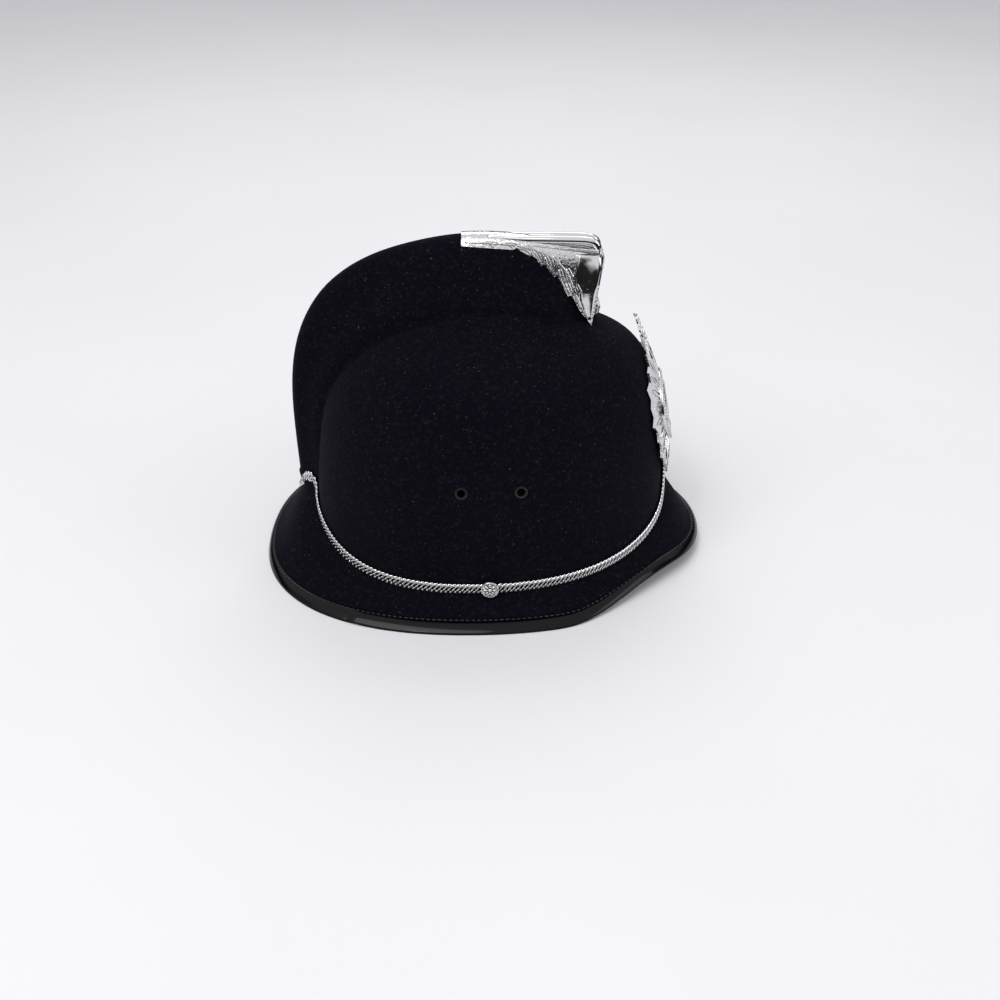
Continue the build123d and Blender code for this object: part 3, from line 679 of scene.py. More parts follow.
def upper_edge(out):
    """The first place, going outwards, where the strip lies above the felt."""
    reach = EDGE_NEAR
    while reach < EDGE_FAR:
        above = out * reach + up * FAR
        strip = binding_tree.ray_cast(above, -up)[0]
        cloth = felt_tree.ray_cast(above, -up)[0]
        if strip and (not cloth or strip.z > cloth.z):
            return strip
        reach += EDGE_STRIDE


def outer_edge(out, start):
    """The outermost place of the strip below its upper edge."""
    farthest = start
    level = start.z
    while level > 0:
        place = binding_tree.ray_cast(out * FAR + up * level, -out)[0]
        if place and place.dot(out) > farthest.dot(out):
            farthest = place
        level -= EDGE_LEVEL
    return farthest


def strip_edges():
    uppers = []
    lowers = []
    for step in range(EDGE_STEPS):
        out = outward(2 * math.pi * step / EDGE_STEPS)
        upper = upper_edge(out)
        if upper:
            uppers.append((upper, out))
            lowers.append((outer_edge(out, upper), out))
    return smoothed(uppers), smoothed(lowers)


upper_line, lower_line = strip_edges()
print("places along the strip:", len(upper_line))

# %% [markdown]
# ## The brim binding
# The patent strip is folded round the brim's edge and sewn through near its upper edge. Folded
# leather is round, so it shows thin highlights and no flat face. A swelling section joins the two
# lines, tucks under the felt above and round the edge below, and is thicker for a short way,
# where one end of the strip laps the other. A skin over all sections gets the leather's thickness.

# %% The folded strip
ROLL = 1.3 * mm
ROLL_STEPS = 9
ROLL_LIFT = 0.1 * mm
ROLL_START = 0.1
TUCK_IN = 0.8 * mm
TUCK_DOWN = 0.5 * mm
HEM_NEAR = 1.6 * mm
HEM_FAR = 3.2 * mm
HEM_UP = 0.2 * mm
STRIP_THICK = 0.6 * mm
LAP_START = math.atan2(-113.6, -86.0)
LAP_TURN = math.radians(9)
LAP_RISE = 0.9 * mm


def lap_share(out):
    """1 where the lapping end starts, falling to 0 where it has thinned out."""
    turn = (math.atan2(out.y, out.x) - LAP_START) / LAP_TURN
    return 1 - turn if 0 <= turn <= 1 else 0


def strip_section(upper, lower, out):
    """Places across the strip, from under the felt over the round fold to the hem below."""
    chord = lower - upper
    swell = (up * chord.dot(out) - out * chord.z).normalized()
    lap = LAP_RISE * lap_share(out)
    row = [upper - out * TUCK_IN - up * TUCK_DOWN]
    for step in range(ROLL_STEPS):
        share = step / (ROLL_STEPS - 1)
        round_off = math.sin(math.pi * (ROLL_START + (1 - ROLL_START) * share))
        row.append(upper.lerp(lower, share) + swell * (ROLL * round_off + lap * share + ROLL_LIFT))
    return row + [lower - out * HEM_NEAR, lower - out * HEM_FAR + up * HEM_UP]


sections = [(strip_section(edge[0], outer[0], edge[1]), edge[1]) for edge, outer in zip(upper_line, lower_line)]


def rounded_binding():
    bm = bmesh.new()
    skin(bm, [row for row, out in sections], closed=True)
    bmesh.ops.recalc_face_normals(bm, faces=bm.faces)
    bmesh.ops.solidify(bm, geom=bm.faces[:], thickness=STRIP_THICK)
    finish_piece(bm, "rounded_binding", patent, replaces=("brim_binding",))


rounded_binding()

# %% [markdown]
# ## The stitches
# A machine seam in waxed thread holds the strip, close below its upper edge. One place of every
# section gives the seam's line. Each stitch is a ball drawn long, laid on that line at an even
# pitch and raised a little, as a thread over leather is.

# %% The seam
SEAM_ROW = 2
STITCH_PITCH = 3.6 * mm
STITCH_RISE = 0.15 * mm
STITCH = sized(1.3 * mm, 0.42 * mm, 0.4 * mm)


def stitches():
    bm = bmesh.new()
    line = [(row[SEAM_ROW], (out + up).normalized()) for row, out in sections]
    for place, normal, along in spaced(line, STITCH_PITCH):
        stamp(bm, small_ball, frame_at(place + normal * STITCH_RISE, along, normal) @ STITCH)
    finish_piece(bm, "binding_stitches", waxed_thread)


stitches()

# %% [markdown]
# ## Relief of the comb end
# The chrome leaf is pressed from sheet. Along its top run two round ridges that end in a rolled
# nose, each cheek has a bright bead under the ridges, an engraved leaf behind and a smooth hollow
# facet in front, and a small leaf tip curls out below. Each line is given in millimetres, as
# places along the helmet and up, and rays from the side or from above lay it on the pressed sheet.

# %% Laying lines on the comb end
cap_tree = search_tree("comb_end")


def on_top(x):
    """The place on the cap's middle line below a point, or None beside the cap."""
    return cap_tree.ray_cast(Vector((x, 0, FAR)), -up)[0]


def on_cheek(x, z, side, rise=0.0):
    """The place beside a point on one cheek, raised off the sheet, or None beside the cap."""
    place, normal = cap_tree.ray_cast(Vector((x, side * FAR, z)), Vector((0, -side, 0)))[:2]
    return place + normal * rise if place else None


def curve_through(points, count):
    """Even places on a smooth curve through (x, z) points."""
    result = []
    last = len(points) - 1
    for step in range(count):
        share = step / (count - 1) * last
        start = min(int(share), last - 1)
        t = share - start
        p = [points[min(max(start + offset, 0), last)] for offset in (-1, 0, 1, 2)]
        place = []
        for axis in (0, 1):
            a, b, c, d = (q[axis] for q in p)
            place.append(b + 0.5 * t * (c - a + t * (2 * a - 5 * b + 4 * c - d + t * (3 * (b - c) + d - a))))
        result.append(tuple(place))
    return result


print("cap's top at its middle:", round(on_top(0).z / mm, 1), "mm")

# %% [markdown]
# ## Ribs on a cheek
# Engraved lines become thin tapered tubes. Each follows a smooth curve over the cheek, and its
# middle line stands a share of its radius above the sheet, so that the tube is partly sunk.

# %% Tapered ribs
RIB_STAND = 0.3


def cheek_rib(bm, points, radius_start, radius_end, side, count, middle=1.0):
    """A tapered rib on one cheek, through (x, z) points, as many times thicker in the middle."""
    places = []
    radii = []
    for index, (x, z) in enumerate(curve_through(points, count)):
        share = index / (count - 1)
        radius = (radius_start + (radius_end - radius_start) * share) * mm
        radius *= 1 + (middle - 1) * math.sin(math.pi * share)
        place = on_cheek(x * mm, z * mm, side, radius * RIB_STAND)
        if place:
            places.append(place)
            radii.append(radius)
    if len(places) > 2:
        tube(bm, places, radii)


def upright_curve(points, count, side, drift=0.0):
    """Places on a smooth curve through (x, z) points, beside the middle and further by each step."""
    curve = curve_through(points, count)
    return [Vector((x * mm, (side + drift * step) * mm, z * mm)) for step, (x, z) in enumerate(curve)]


print("share of a rib's radius that lifts its middle line:", RIB_STAND)

# %% [markdown]
# ## The ridges
# The real cap's two round ridges run level to the nose while the felt comb falls away below. Two
# tubes of growing radius follow one level line that rolls over at its end.

# %% The ridges
RIDGE_SIDE = 3.7
RIDGE_LINE = [(4, 217.6), (16, 216.6), (30, 215.9), (48, 215.7), (60, 215.5), (66, 215.1), (70, 214.0), (72, 211.9),
              (72.6, 209.4)]
RIDGE_STEPS = 36
RIDGE_THIN = 1.6
RIDGE_SWELL = 1.2
RIDGE_SWELL_STEPS = 12
RIDGE_SIDES = 14


def top_ridges():
    bm = bmesh.new()
    radii = [(RIDGE_THIN + RIDGE_SWELL * min(step / RIDGE_SWELL_STEPS, 1)) * mm for step in range(RIDGE_STEPS)]
    for side in (-1, 1):
        tube(bm, upright_curve(RIDGE_LINE, RIDGE_STEPS, side * RIDGE_SIDE), radii, RIDGE_SIDES)
    finish_piece(bm, "comb_end_ridges", chrome)


top_ridges()

# %% [markdown]
# ## The roof between them
# Pressed sheet between the ridges closes the gap above the falling comb. Rays from above find the
# cap below each place of the ridges' line, and an oval tube fills the room between the two.

# %% The roof
ROOF_PART = slice(6, -3)
ROOF_DROP = 1.2 * mm
ROOF_SPARE = 1.6 * mm
ROOF_HALF_WIDTH = 6.2 * mm
ROOF_SIDES = 20


def comb_roof():
    bm = bmesh.new()
    places = []
    radii = []
    for spot in upright_curve(RIDGE_LINE, RIDGE_STEPS, 0)[ROOF_PART]:
        low = on_top(spot.x)
        if low:
            places.append(Vector((spot.x, 0, (low.z + spot.z) / 2 - ROOF_DROP)))
            radii.append((spot.z - low.z) / 2 + ROOF_SPARE)
    tube(bm, places, radii, ROOF_SIDES, [ROOF_HALF_WIDTH] * len(places))
    finish_piece(bm, "comb_end_roof", chrome)


comb_roof()

# %% [markdown]
# ## The engraved leaf
# Behind the facet each cheek shows a long leaf: a stem, and blades that run from it to seven
# points along the lower edge. Every blade is a rib that is thickest in its middle, five to a
# point, so that the chrome breaks into many small lights, as the engraving does. The bead line
# and the facet's rear rim are drawn with it.

# %% The leaf
LEAF_STEM = [(-10, 215.5), (12, 214.6), (30, 212), (44, 206.5), (53, 198), (58, 187), (62.5, 175)]
FACET_REAR = [(60.5, 208), (58.8, 200), (57.8, 192), (59.2, 185), (63, 176), (67.4, 167)]
FACET_FRONT = [(74.8, 208), (74.6, 201), (73.2, 192), (71.8, 184), (70.4, 175), (68.8, 167)]
BEAD_LINE = [(24, 214.0), (40, 212.2), (50, 211.3), (62, 210.6), (73, 209.4)]
BEAD_SIDE = 6.9
BEAD_STEPS = 24
BLADE_GAP = 1.7
BLADE_RADII = (0.35, 0.3)
BLADE_STEPS = 10
BLADE_MIDDLE = 2.1
ROOT_SPREAD = (0.9, 0.12)
BOW_SPREAD = 1.15
BOW_SHIFT = (0.6, 0.9)
TIP_AHEAD = 0.9
TIP_BEHIND = 0.5
TIP_RISE = 0.75
LEAF_TIPS = ((8, 212.6), (20, 211.8), (30.8, 208.2), (38.2, 202.6), (46.2, 196), (55, 184.4), (60, 178))
LEAF_ROOTS = ((2, 216.6), (13, 215.8), (24, 213.8), (34, 211), (43, 207.5), (51.5, 200), (56.5, 191.5))


def blade_line(root, tip, lean):
    """Root, bow and tip of a blade that leans ahead or behind in its fan."""
    start = (root[0] + lean * ROOT_SPREAD[0], root[1] + lean * ROOT_SPREAD[1])
    bow = ((root[0] + tip[0]) / 2 + lean * BOW_SPREAD + BOW_SHIFT[0], (root[1] + tip[1]) / 2 + BOW_SHIFT[1])
    end = (tip[0] + lean * (TIP_AHEAD if lean > 0 else TIP_BEHIND), tip[1] + abs(lean) * TIP_RISE)
    return [start, bow, end]


def cheek_relief():
    bm = bmesh.new()
    for side in (-1, 1):
        cheek_rib(bm, LEAF_STEM, 0.6, 0.8, side, 36)
        tube(bm, upright_curve(BEAD_LINE, BEAD_STEPS, side * BEAD_SIDE),
             [(0.6 + 0.6 * step / (BEAD_STEPS - 1)) * mm for step in range(BEAD_STEPS)], 10)
        cheek_rib(bm, FACET_REAR, 0.9, 0.7, side, 24)
        for root, tip in zip(LEAF_ROOTS, LEAF_TIPS):
            for blade in range(-2, 3):
                line = blade_line(root, tip, blade * BLADE_GAP)
                cheek_rib(bm, line, *BLADE_RADII, side, BLADE_STEPS, BLADE_MIDDLE)
    finish_piece(bm, "comb_end_leaf", chased_chrome)


cheek_relief()

# %% [markdown]
# ## The hollow facets
# The front of each cheek is a polished hollow like the bowl of a spoon, which shows one large
# dark reflection. A skin is laid between the facet's rear and front lines. Its rise above the
# sheet grows with the square of the distance from the middle, and a modifier gives it thickness.

# %% The facets
FACET_ROWS = 16
FACET_STEPS = 8
FACET_FLOOR = 0.1
FACET_RIM = 0.9
FACET_SHEET = 0.4 * mm
PAST_EDGE = Vector((0.2 * mm, 0, 0))


def hollow_facets():
    bm = bmesh.new()
    for side in (-1, 1):
        rows = []
        rear, front = curve_through(FACET_REAR, FACET_ROWS), curve_through(FACET_FRONT, FACET_ROWS)
        for (x0, z0), (x1, z1) in zip(rear, front):
            row = []
            for step in range(FACET_STEPS + 1):
                share = step / FACET_STEPS
                rise = (FACET_FLOOR + FACET_RIM * (2 * share - 1) ** 2) * mm
                place = on_cheek((x0 + (x1 - x0) * share) * mm, (z0 + (z1 - z0) * share) * mm, side, rise)
                row.append(place or row[-1] + PAST_EDGE)
            rows.append(row if side < 0 else row[::-1])
        skin(bm, rows)
    piece = finish_piece(bm, "comb_end_facets", chrome)
    wall = piece.modifiers.new("sheet thickness", "SOLIDIFY")
    wall.thickness = FACET_SHEET


hollow_facets()

# %% [markdown]
# ## The nose
# Down the front of the cap run a keel, four flutes and two rolled rims, and below it a small leaf
# tip curls forward on each side. All are tubes: a tube whose radius swells and shrinks like half
# a wave looks hammered to a point at both ends.

# %% The nose
CURL_STEPS = 14
CURL_SIDE = 2.2
CURL_DRIFT = -0.3
RIM_STEPS = 16
RIM_SIDE = 6.2
RIM_DRIFT = 0.28
RIM_RADIUS = 1.0 * mm
KEEL_STEPS = 16
NOSE_SIDES = 10
FLUTE_LANES = (2.2, 4.2)
FLUTE_STEPS = 14
FLUTE_PART = slice(1, 11)
FLUTE_SINK = 0.5 * mm
CURL = ((72.0, 182), (73.6, 175), (74.2, 169.5), (72.6, 165), (69.6, 162))
NOSE_RIM = ((74.0, 208.5), (75.6, 205), (74.4, 194), (72.6, 183), (71.2, 173))
NOSE_KEEL = ((74.8, 209), (76.4, 203), (75.2, 194), (73.6, 183), (72.6, 176))


def half_wave(thin, swell, count, speed=1.0):
    """Radii that swell and shrink like half a wave, in metres, from millimetres."""
    return [(thin + swell * math.sin(math.pi * min(step / (count - 1) * speed, 1))) * mm for step in range(count)]


def nose_details():
    bm = bmesh.new()
    for side in (-1, 1):
        curl = upright_curve(CURL, CURL_STEPS, side * CURL_SIDE, side * CURL_DRIFT)
        tube(bm, curl, half_wave(0.5, 1.5, CURL_STEPS, 1.1), NOSE_SIDES)
        rim = upright_curve(NOSE_RIM, RIM_STEPS, side * RIM_SIDE, side * RIM_DRIFT)
        tube(bm, rim, [RIM_RADIUS] * RIM_STEPS, NOSE_SIDES)
        for lane in FLUTE_LANES:
            flute = upright_curve(NOSE_KEEL, FLUTE_STEPS, side * lane)[FLUTE_PART]
            tube(bm, [place - forward * FLUTE_SINK for place in flute], half_wave(0.35, 0.5, len(flute)))
    tube(bm, upright_curve(NOSE_KEEL, KEEL_STEPS, 0), half_wave(0.5, 0.9, KEEL_STEPS), NOSE_SIDES)
    finish_piece(bm, "comb_end_nose", chrome)


nose_details()

# %% [markdown]
# ## The bent plate
# The plate is stamped with rays, a stepped disc, a wreath and rows of beads, and bent round the
# helmet's front. Each point of its relief is given in millimetres, across, up and out, and one
# function lays it on the bent sheet: an arc in side view, turned about an upright axis. Three
# places on the solid plate's face fix that arc.

# %% Points on the bent plate
PLATE_LINE = ((126.25, 47.03), (121.25, 99.52), (96.88, 166.73))
PLATE_BEND = 69
PLATE_SHEET = 1.2
PLATE_MIDDLE = 101.5


def circle_through(a, b, c):
    """Middle and radius of the circle through three (x, z) places."""
    d = 2 * (a[0] * (b[1] - c[1]) + b[0] * (c[1] - a[1]) + c[0] * (a[1] - b[1]))
    squares = [p[0] ** 2 + p[1] ** 2 for p in (a, b, c)]
    x = (squares[0] * (b[1] - c[1]) + squares[1] * (c[1] - a[1]) + squares[2] * (a[1] - b[1])) / d
    z = (squares[0] * (c[0] - b[0]) + squares[1] * (a[0] - c[0]) + squares[2] * (b[0] - a[0])) / d
    return x, z, math.hypot(a[0] - x, a[1] - z)


ARC = circle_through(*PLATE_LINE)
AXIS_RUN = PLATE_LINE[1][0] - PLATE_BEND


def on_plate(across, height, out):
    """A place on the plate's face, in metres, from millimetres across, up and out."""
    reach = ARC[0] + math.sqrt(ARC[2] ** 2 - (height - ARC[1]) ** 2) + PLATE_SHEET - AXIS_RUN
    ahead = math.sqrt(reach ** 2 - across ** 2)
    slope = (height - ARC[1]) / ARC[2]
    out_way = Vector((ahead / reach, across / reach, slope)).normalized()
    return (Vector((AXIS_RUN + ahead, across, height)) + out_way * out) * mm, out_way


def on_ring(radius, turn, out):
    """The same for a place at a distance and an angle from the plate's middle."""
    return on_plate(radius * math.cos(turn), PLATE_MIDDLE + radius * math.sin(turn), out)


print("radius of the plate's arc:", round(ARC[2]), "mm")

# %% [markdown]
# ## The star's rays
# Twenty-four rays run out from the disc, each a ridge between two sloping faces with a fine rib on
# each slope, and every second one is a little shorter. The faces are laid from the disc to the
# edge, thin at the edge and high at the root. They stay flat-shaded, because stamped rays have
# crisp ridges that smooth shading would blur.

# %% The rays
RAYS = 24
HALF_HEIGHT = 49.5
HALF_WIDTH = 36
RAY_SHARE = 0.985
ROOT_SHARE = 0.46
EDGE_RISE = 0.05
RIDGE_RISE = 1.5
VALLEY_RISE = 0.3
BACK_DEPTH = -0.3
SHORT_RAY = 0.955
NOTCH = 0.91
RAY_RIB = (0.45 * mm, 0.4 * mm, 0.25 * mm)
RAY_RIB_RISES = (0.62, 0.42, 0.22)
RAY_RIB_SIDES = 6
RIB_ROOT = 0.25
RIB_HALF = 0.55
RIB_ASIDE = 0.3
RIB_SHORT = 0.14


def ray_share(step):
    """How far out a ray or the notch beside it goes: notch, shorter ray or full ray."""
    if step % 2:
        return NOTCH
    return SHORT_RAY if step % 4 else 1.0


def star_rays():
    bm = bmesh.new()
    spots = []
    for step in range(RAYS * 2):
        turn = math.pi * step / RAYS
        share = ray_share(step) * RAY_SHARE
        spots.append((share * HALF_WIDTH * math.cos(turn), share * HALF_HEIGHT * math.sin(turn)))
    inner = [(x * ROOT_SHARE / ray_share(i), z * ROOT_SHARE / ray_share(i)) for i, (x, z) in enumerate(spots)]

    def ring(places, rises):
        return [bm.verts.new(on_plate(x, PLATE_MIDDLE + z, rises[i % 2])[0]) for i, (x, z) in enumerate(places)]

    edge = ring(spots, (EDGE_RISE, EDGE_RISE))
    root = ring(inner, (RIDGE_RISE, VALLEY_RISE))
    back = ring(spots, (BACK_DEPTH, BACK_DEPTH))
    back_root = ring(inner, (BACK_DEPTH, BACK_DEPTH))
    count = len(spots)
    for i in range(count):
        j = (i + 1) % count
        bm.faces.new((root[i], edge[i], edge[j], root[j]))
        bm.faces.new((back[i], back_root[i], back_root[j], back[j]))
        bm.faces.new((edge[i], back[i], back[j], edge[j]))
        bm.faces.new((back_root[i], root[i], root[j], back_root[j]))
    bmesh.ops.recalc_face_normals(bm, faces=bm.faces)
    for step in range(0, count, 2):
        for side in (-1, 1):
            start, end = Vector(inner[step] + (0,)), Vector(spots[step] + (0,))
            valley = Vector(spots[(step + side) % count] + (0,))
            rib = [start.lerp(valley, RIB_ROOT), start.lerp(end, RIB_HALF).lerp(valley, RIB_ASIDE),
                   end.lerp(start, RIB_SHORT)]
            places = [on_plate(p.x, PLATE_MIDDLE + p.y, rise)[0] for p, rise in zip(rib, RAY_RIB_RISES)]
            tube(bm, places, RAY_RIB, RAY_RIB_SIDES)
    finish_piece(bm, "star_rays", chased_chrome, smooth=False)


star_rays()

# %% [markdown]
# ## The centre disc
# A domed boss sits in the middle of two raised rings with a channel inside each. It is turned
# flat as on a lathe, and then each place is laid on the bent plate. The disc stays bare of
# letters and figures.

# %% The disc
DISC_PROFILE = [(0, 2.7), (5, 2.6), (8.4, 2.1), (9.4, 1.4), (13.2, 1.4), (13.9, 2.3), (15.4, 2.4), (16.1, 1.5),
                (21.4, 1.5), (22.1, 2.3), (23.6, 2.1), (24, 0.9), (24, -0.2), (0, -0.2)]
DISC_STEPS = 64


def centre_disc():
    bm = lathe(DISC_PROFILE, DISC_STEPS)
    for vert in bm.verts:
        vert.co = on_plate(vert.co.x, PLATE_MIDDLE + vert.co.y, vert.co.z)[0]
    bmesh.ops.recalc_face_normals(bm, faces=bm.faces)
    finish_piece(bm, "centre_disc", chrome, replaces=("plate_roundel",))


centre_disc()

# %% [markdown]
# ## The wreath
# A wreath of paired leaves climbs both sides of the outer channel to a gap at the top, and three
# beads stand for its bow at the foot. A leaf is a ball pressed flat and drawn long, which leans
# away from its stem.

# %% The wreath's leaves
WREATH_RADIUS = 18.8
WREATH_RISE = 1.8
WREATH_LEAVES = 17
WREATH_START = 14
WREATH_PITCH = 9.3
LANE_REACH = 1.3
LEAF_LEAN = 0.55
BOW_PITCH = 2.6
LEAF = sized(2.0 * mm, 0.85 * mm, 0.6 * mm)
BOW_BEAD = sized(1.2 * mm, 1.2 * mm, 0.9 * mm)
SIDEWAYS = Vector((0, 1, 0))


def wreath():
    bm = bmesh.new()
    for side in (-1, 1):
        for leaf in range(WREATH_LEAVES):
            turn = -math.pi / 2 + side * math.radians(WREATH_START + leaf * WREATH_PITCH)
            for lane in (-1, 1):
                place, out_way = on_ring(WREATH_RADIUS + lane * LANE_REACH, turn, WREATH_RISE)
                climb = Vector((0, -math.sin(turn), math.cos(turn))) * side
                lean = climb + Vector((0, math.cos(turn), math.sin(turn))) * lane * LEAF_LEAN
                stamp(bm, smooth_ball, frame_at(place, lean, out_way) @ LEAF)
    for bead in range(3):
        place, out_way = on_plate((bead - 1) * BOW_PITCH, PLATE_MIDDLE - WREATH_RADIUS, 1.9)
        stamp(bm, smooth_ball, frame_at(place, SIDEWAYS, out_way) @ BOW_BEAD)
    finish_piece(bm, "plate_wreath", chrome)


wreath()

# %% [markdown]
# ## The disc's beads
# A rope of beads follows each raised ring, and catches a point of light on every bead. Each row
# gives the ring's radius in millimetres, the number of its beads and their size.

# %% The disc's two ropes
BEAD_RINGS = ((14.6, 44, 0.85), (22.9, 64, 0.8))
BEAD_RISE = 2.4


def disc_beads():
    bm = bmesh.new()
    for radius, count, size in BEAD_RINGS:
        for bead in range(count):
            place, out_way = on_ring(radius, 2 * math.pi * bead / count, BEAD_RISE)
            stamp(bm, small_ball, frame_at(place, SIDEWAYS, out_way) @ sized(size * mm, size * mm, 0.6 * mm))
    finish_piece(bm, "disc_beads", chrome)


disc_beads()

# %% [markdown]
# ## The ornament above the plate
# A three-lobed ornament stands on a stem on top of the plate. The solid keeps its outline, and
# small beads along its edge, just inside it, make it look cast.

# %% The ornament's beads
FINIAL_OUTLINE = [(-1.2, 149), (-1.4, 152), (-5.5, 154), (-8.2, 156.5), (-6.6, 159.6), (-3.6, 160), (-3.8, 163),
                  (0, 165)]
FINIAL_INSET = 0.92
FINIAL_BEAD = sized(1.1 * mm, 1.1 * mm, 0.9 * mm)


def finial_beads():
    bm = bmesh.new()
    for side in (-1, 1):
        for across, height in FINIAL_OUTLINE[:-1] if side > 0 else FINIAL_OUTLINE:
            place, out_way = on_plate(side * across * FINIAL_INSET, height, 0.1)
            stamp(bm, small_ball, frame_at(place, up, out_way) @ FINIAL_BEAD)
    finish_piece(bm, "finial_beads", chrome)


finial_beads()

# %% [markdown]
# ## Soft parts inside
# Leather, webbing and lining have rounded, slightly soft edges. A copy of each plain solid is
# welded, its flat facets are joined and a bevel rounds its corners. The brim's lining is drawn in
# with the felt that it is glued to. Each row of the table below gives the plain solid, the new
# piece, its finish, its slot, the rounding and the body that it rides on.

# %% Rounded copies of the soft solids
FLAT = math.radians(0.5)
CORNER = math.radians(45)


def softened(node, name, finish, round_by, body):
    bm = bmesh.new()
    bm.from_mesh(nodes[node].data)
    bmesh.ops.remove_doubles(bm, verts=bm.verts, dist=WELD)
    bmesh.ops.dissolve_limit(bm, angle_limit=FLAT, verts=bm.verts, edges=bm.edges)
    if node == "brim_lining":
        drawn_in(bm, WALL + LINING_GAP, WALL + LINING_GAP + LINING_THICK)
    piece = finish_piece(bm, name, finish, body, (node,))
    bevel = piece.modifiers.new("rounded edges", "BEVEL")
    bevel.width = round_by
    bevel.segments = 2
    bevel.limit_method = "ANGLE"
    bevel.angle_limit = CORNER


for solid, name, finish, slot, round_by, body in (
    ("sweatband", "leather_sweatband", tan_leather, "tan_leather", 0.35 * mm, "helmet"),
    ("cradle_strap_long", "long_webbing_strap", webbing, "webbing", 0.4 * mm, "helmet"),
    ("cradle_straps_cross", "cross_webbing_straps", cross_webbing, "webbing", 0.4 * mm, "helmet"),
    ("chin_strap_long", "long_chin_strap", strap_leather, "black_leather", 0.35 * mm, "chin_strap"),
    ("chin_strap_short", "short_chin_strap", strap_leather, "black_leather", 0.35 * mm, "chin_strap"),
    ("strap_keeper", "keeper_loop", strap_leather, "black_leather", 0.25 * mm, "keeper"),
    ("brim_lining", "cotton_brim_lining", glazed_cotton, "lining_cloth", 0.1 * mm, "helmet"),
):
    softened(solid, name, finish, round_by, body)

# %% [markdown]
# ## The pad over the head
# A round pad hangs under the crossing of the straps, sewn in eight sectors. It is modelled new: a
# turned disc whose upper and lower faces swell between the seams and thin out to the rim, while
# the whole is dished to follow the straps.

# %% The padded disc
PAD_RINGS = 14
PAD_STEPS = 96
PAD_SECTORS = 8
PAD_THICK = 5.6 * mm
PAD_ABOVE = 0.35
PAD_BELOW = 0.6
PAD_FLAT = 6 * mm
PAD_EDGE = 0.5 * mm
PAD_CLEAR = 0.25 * mm
PAD_BUTTON = 4 * mm
PAD_SEAM = 0.45
PAD_RIM = 0.12


def head_pad():
    low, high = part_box("crown_pad")
    middle = (low + high) / 2
    radius = (high.x - low.x) / 2 - PAD_EDGE
    dish = high.z - low.z - PAD_FLAT
    profile = [(radius * step / PAD_RINGS, 0) for step in range(PAD_RINGS + 1)]
    bm = lathe(profile + [(radius, -1 * mm)] + [(r, -2 * mm) for r, h in profile[::-1]], PAD_STEPS)
    for vert in bm.verts:
        reach = math.hypot(vert.co.x, vert.co.y)
        share = min(reach / radius, 1)
        turn = math.atan2(vert.co.y, vert.co.x)
        channel = abs(math.sin(turn * PAD_SECTORS / 2)) ** 0.5 if reach > PAD_BUTTON else 0.4
        swell = PAD_THICK * ((1 - share ** 4) * (PAD_SEAM + (1 - PAD_SEAM) * channel) + PAD_RIM)
        level = high.z - PAD_CLEAR - dish * share ** 2 - PAD_THICK * PAD_ABOVE
        above = vert.co.z > -0.5 * mm
        vert.co.z = level + swell * PAD_ABOVE if above else level - swell * PAD_BELOW
        vert.co.x += middle.x
    bmesh.ops.recalc_face_normals(bm, faces=bm.faces)
    pad = finish_piece(bm, "padded_disc", glazed_cotton, replaces=("crown_pad",))


head_pad()

# %% [markdown]
# ## The floor
# The helmet stands on a pale, plain table. A large grid lies at height 0, mostly behind the
# helmet, and very broad noise keeps its colour from being dead even. It belongs to the stage, so
# it isn't part of the object.

# %% The floor
TABLE_FRONT = 0.45
TABLE_HALF = 1.5
CLOUD = 1 / 3


def floor():
    bm = bmesh.new()
    bmesh.ops.create_grid(bm, x_segments=4, y_segments=4, size=TABLE_HALF)
    bmesh.ops.translate(bm, verts=bm.verts, vec=(0, TABLE_HALF - TABLE_FRONT, 0))
    mesh = as_mesh(bm, "floor")
    finish, tree, shader = new_finish("pale_table", {"Roughness": 0.7})
    tone = blend(tree, noise(tree, place_of(tree), CLOUD, 3.0), "e2e1e4", "eae9eb")
    fill(tree, shader, {"Base Color": tone})
    mesh.materials.append(finish)
    piece = bpy.data.objects.new("floor", mesh)
    bpy.context.collection.objects.link(piece)
    print("floor:", round(2 * TABLE_HALF, 1), "m wide")


floor()

# %% [markdown]
# ## The world
# Three kinds of ray see three worlds. The camera sees a plain pale backdrop, felt and leather get
# an even pale light, and polished metal mirrors a dim room with a bright ceiling of uneven edge,
# because chrome in an all-white world looks like paint.

# %% The world
CEILING_PATCH = 1 / 2.6


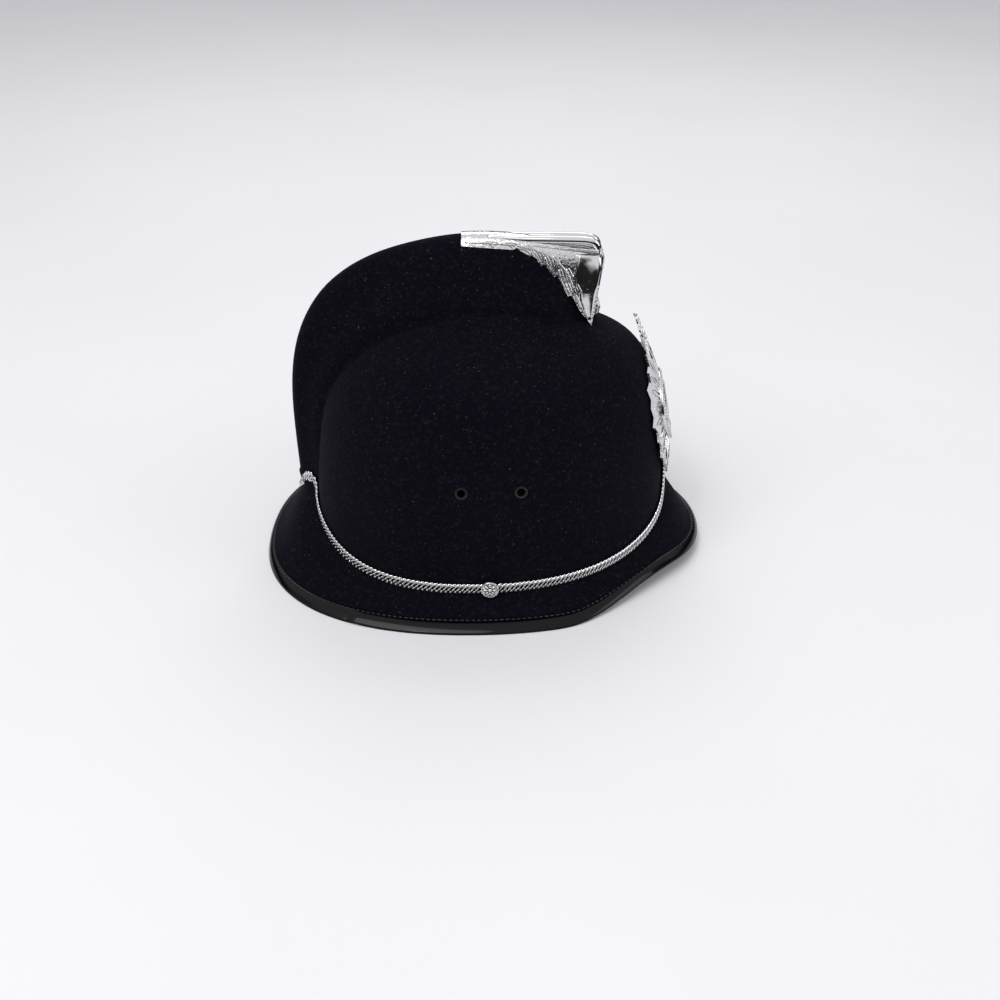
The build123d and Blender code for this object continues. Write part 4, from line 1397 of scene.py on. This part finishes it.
def world():
    sky = bpy.data.worlds.new("soft_room")
    sky.use_nodes = True
    tree = sky.node_tree
    room = tree.nodes["Background"]
    fill(tree, room, {"Color": colour("e4e4e8"), "Strength": 0.8})
    seen = add(tree, "ShaderNodeBackground", {"Color": colour("e6e6e9"), "Strength": 0.95})
    direction = add(tree, "ShaderNodeTexCoord").outputs["Generated"]
    height = add(tree, "ShaderNodeSeparateXYZ", {0: direction}).outputs[2]
    uneven = added(tree, height, noise(tree, direction, CEILING_PATCH, 2.0))
    glow = stretch(tree, uneven, 0.8, 1.05, 0.02, 1.15)
    mirrored = add(tree, "ShaderNodeBackground", {"Color": colour("e6e6e8"), "Strength": glow})
    rays = add(tree, "ShaderNodeLightPath")
    glossy = add(tree, "ShaderNodeMixShader", {0: rays.outputs["Is Glossy Ray"], 1: room.outputs[0],
                                               2: mirrored.outputs[0]})
    clear = add(tree, "ShaderNodeMath", {0: rays.outputs["Is Camera Ray"], 1: rays.outputs["Is Transmission Ray"]},
                operation="MAXIMUM")
    mix = add(tree, "ShaderNodeMixShader", {0: clear.outputs[0], 1: glossy.outputs[0], 2: seen.outputs[0]})
    fill(tree, tree.nodes["World Output"], {"Surface": mix.outputs[0]})
    bpy.context.scene.world = sky
    print("world:", sky.name)


world()

# %% [markdown]
# ## The lamps
# One large soft lamp stands at the upper left front, a weaker one at the right and one behind. A
# small lamp draws the sharp bright spots on patent leather and chrome. All point at the middle of
# the helmet, and each row gives a lamp's place, size and power.

# %% The lamps
LAMPS = (
    ("front_softbox", (-0.6, -0.8, 1.5), (1.2, 1.0), 12),
    ("right_softbox", (1.25, -0.5, 0.8), (0.6, 0.8), 3),
    ("small_lamp", (-0.35, -0.75, 1.3), (0.14, 0.05), 1.2),
    ("rear_softbox", (0.1, 1.3, 1.5), (1.4, 0.8), 9),
)
LIT_PLACE = Vector((0, 0, 0.08))


def lamp(name, place, size, watts):
    light = bpy.data.lights.new(name, "AREA")
    light.shape = "RECTANGLE"
    light.size, light.size_y = size
    light.energy = watts
    stand = bpy.data.objects.new(name, light)
    stand.location = place
    stand.rotation_euler = (LIT_PLACE - stand.location).to_track_quat("-Z", "Y").to_euler()
    bpy.context.collection.objects.link(stand)
    print("lamp:", name, watts, "W")


for name, place, size, watts in LAMPS:
    lamp(name, place, size, watts)

# %% [markdown]
# ## The camera
# The camera stands where the picture was taken: 71 cm to the right of the helmet's middle and 46
# cm above the table, looking 31.5 degrees down, with a lens of 42.5 mm on a 36 mm sensor.

# %% The camera
CAMERA_PLACE = (0.0119, -0.710, 0.460)
CAMERA_DOWN = 31.5
camera = bpy.data.objects.new("camera", bpy.data.cameras.new("camera"))
camera.location = CAMERA_PLACE
camera.rotation_euler = (math.radians(90 - CAMERA_DOWN), 0, 0)
camera.data.lens = 42.48
camera.data.sensor_width = 36
bpy.context.collection.objects.link(camera)
bpy.context.scene.camera = camera
bpy.context.scene.view_settings.view_transform = "Standard"
print("camera at", CAMERA_PLACE)
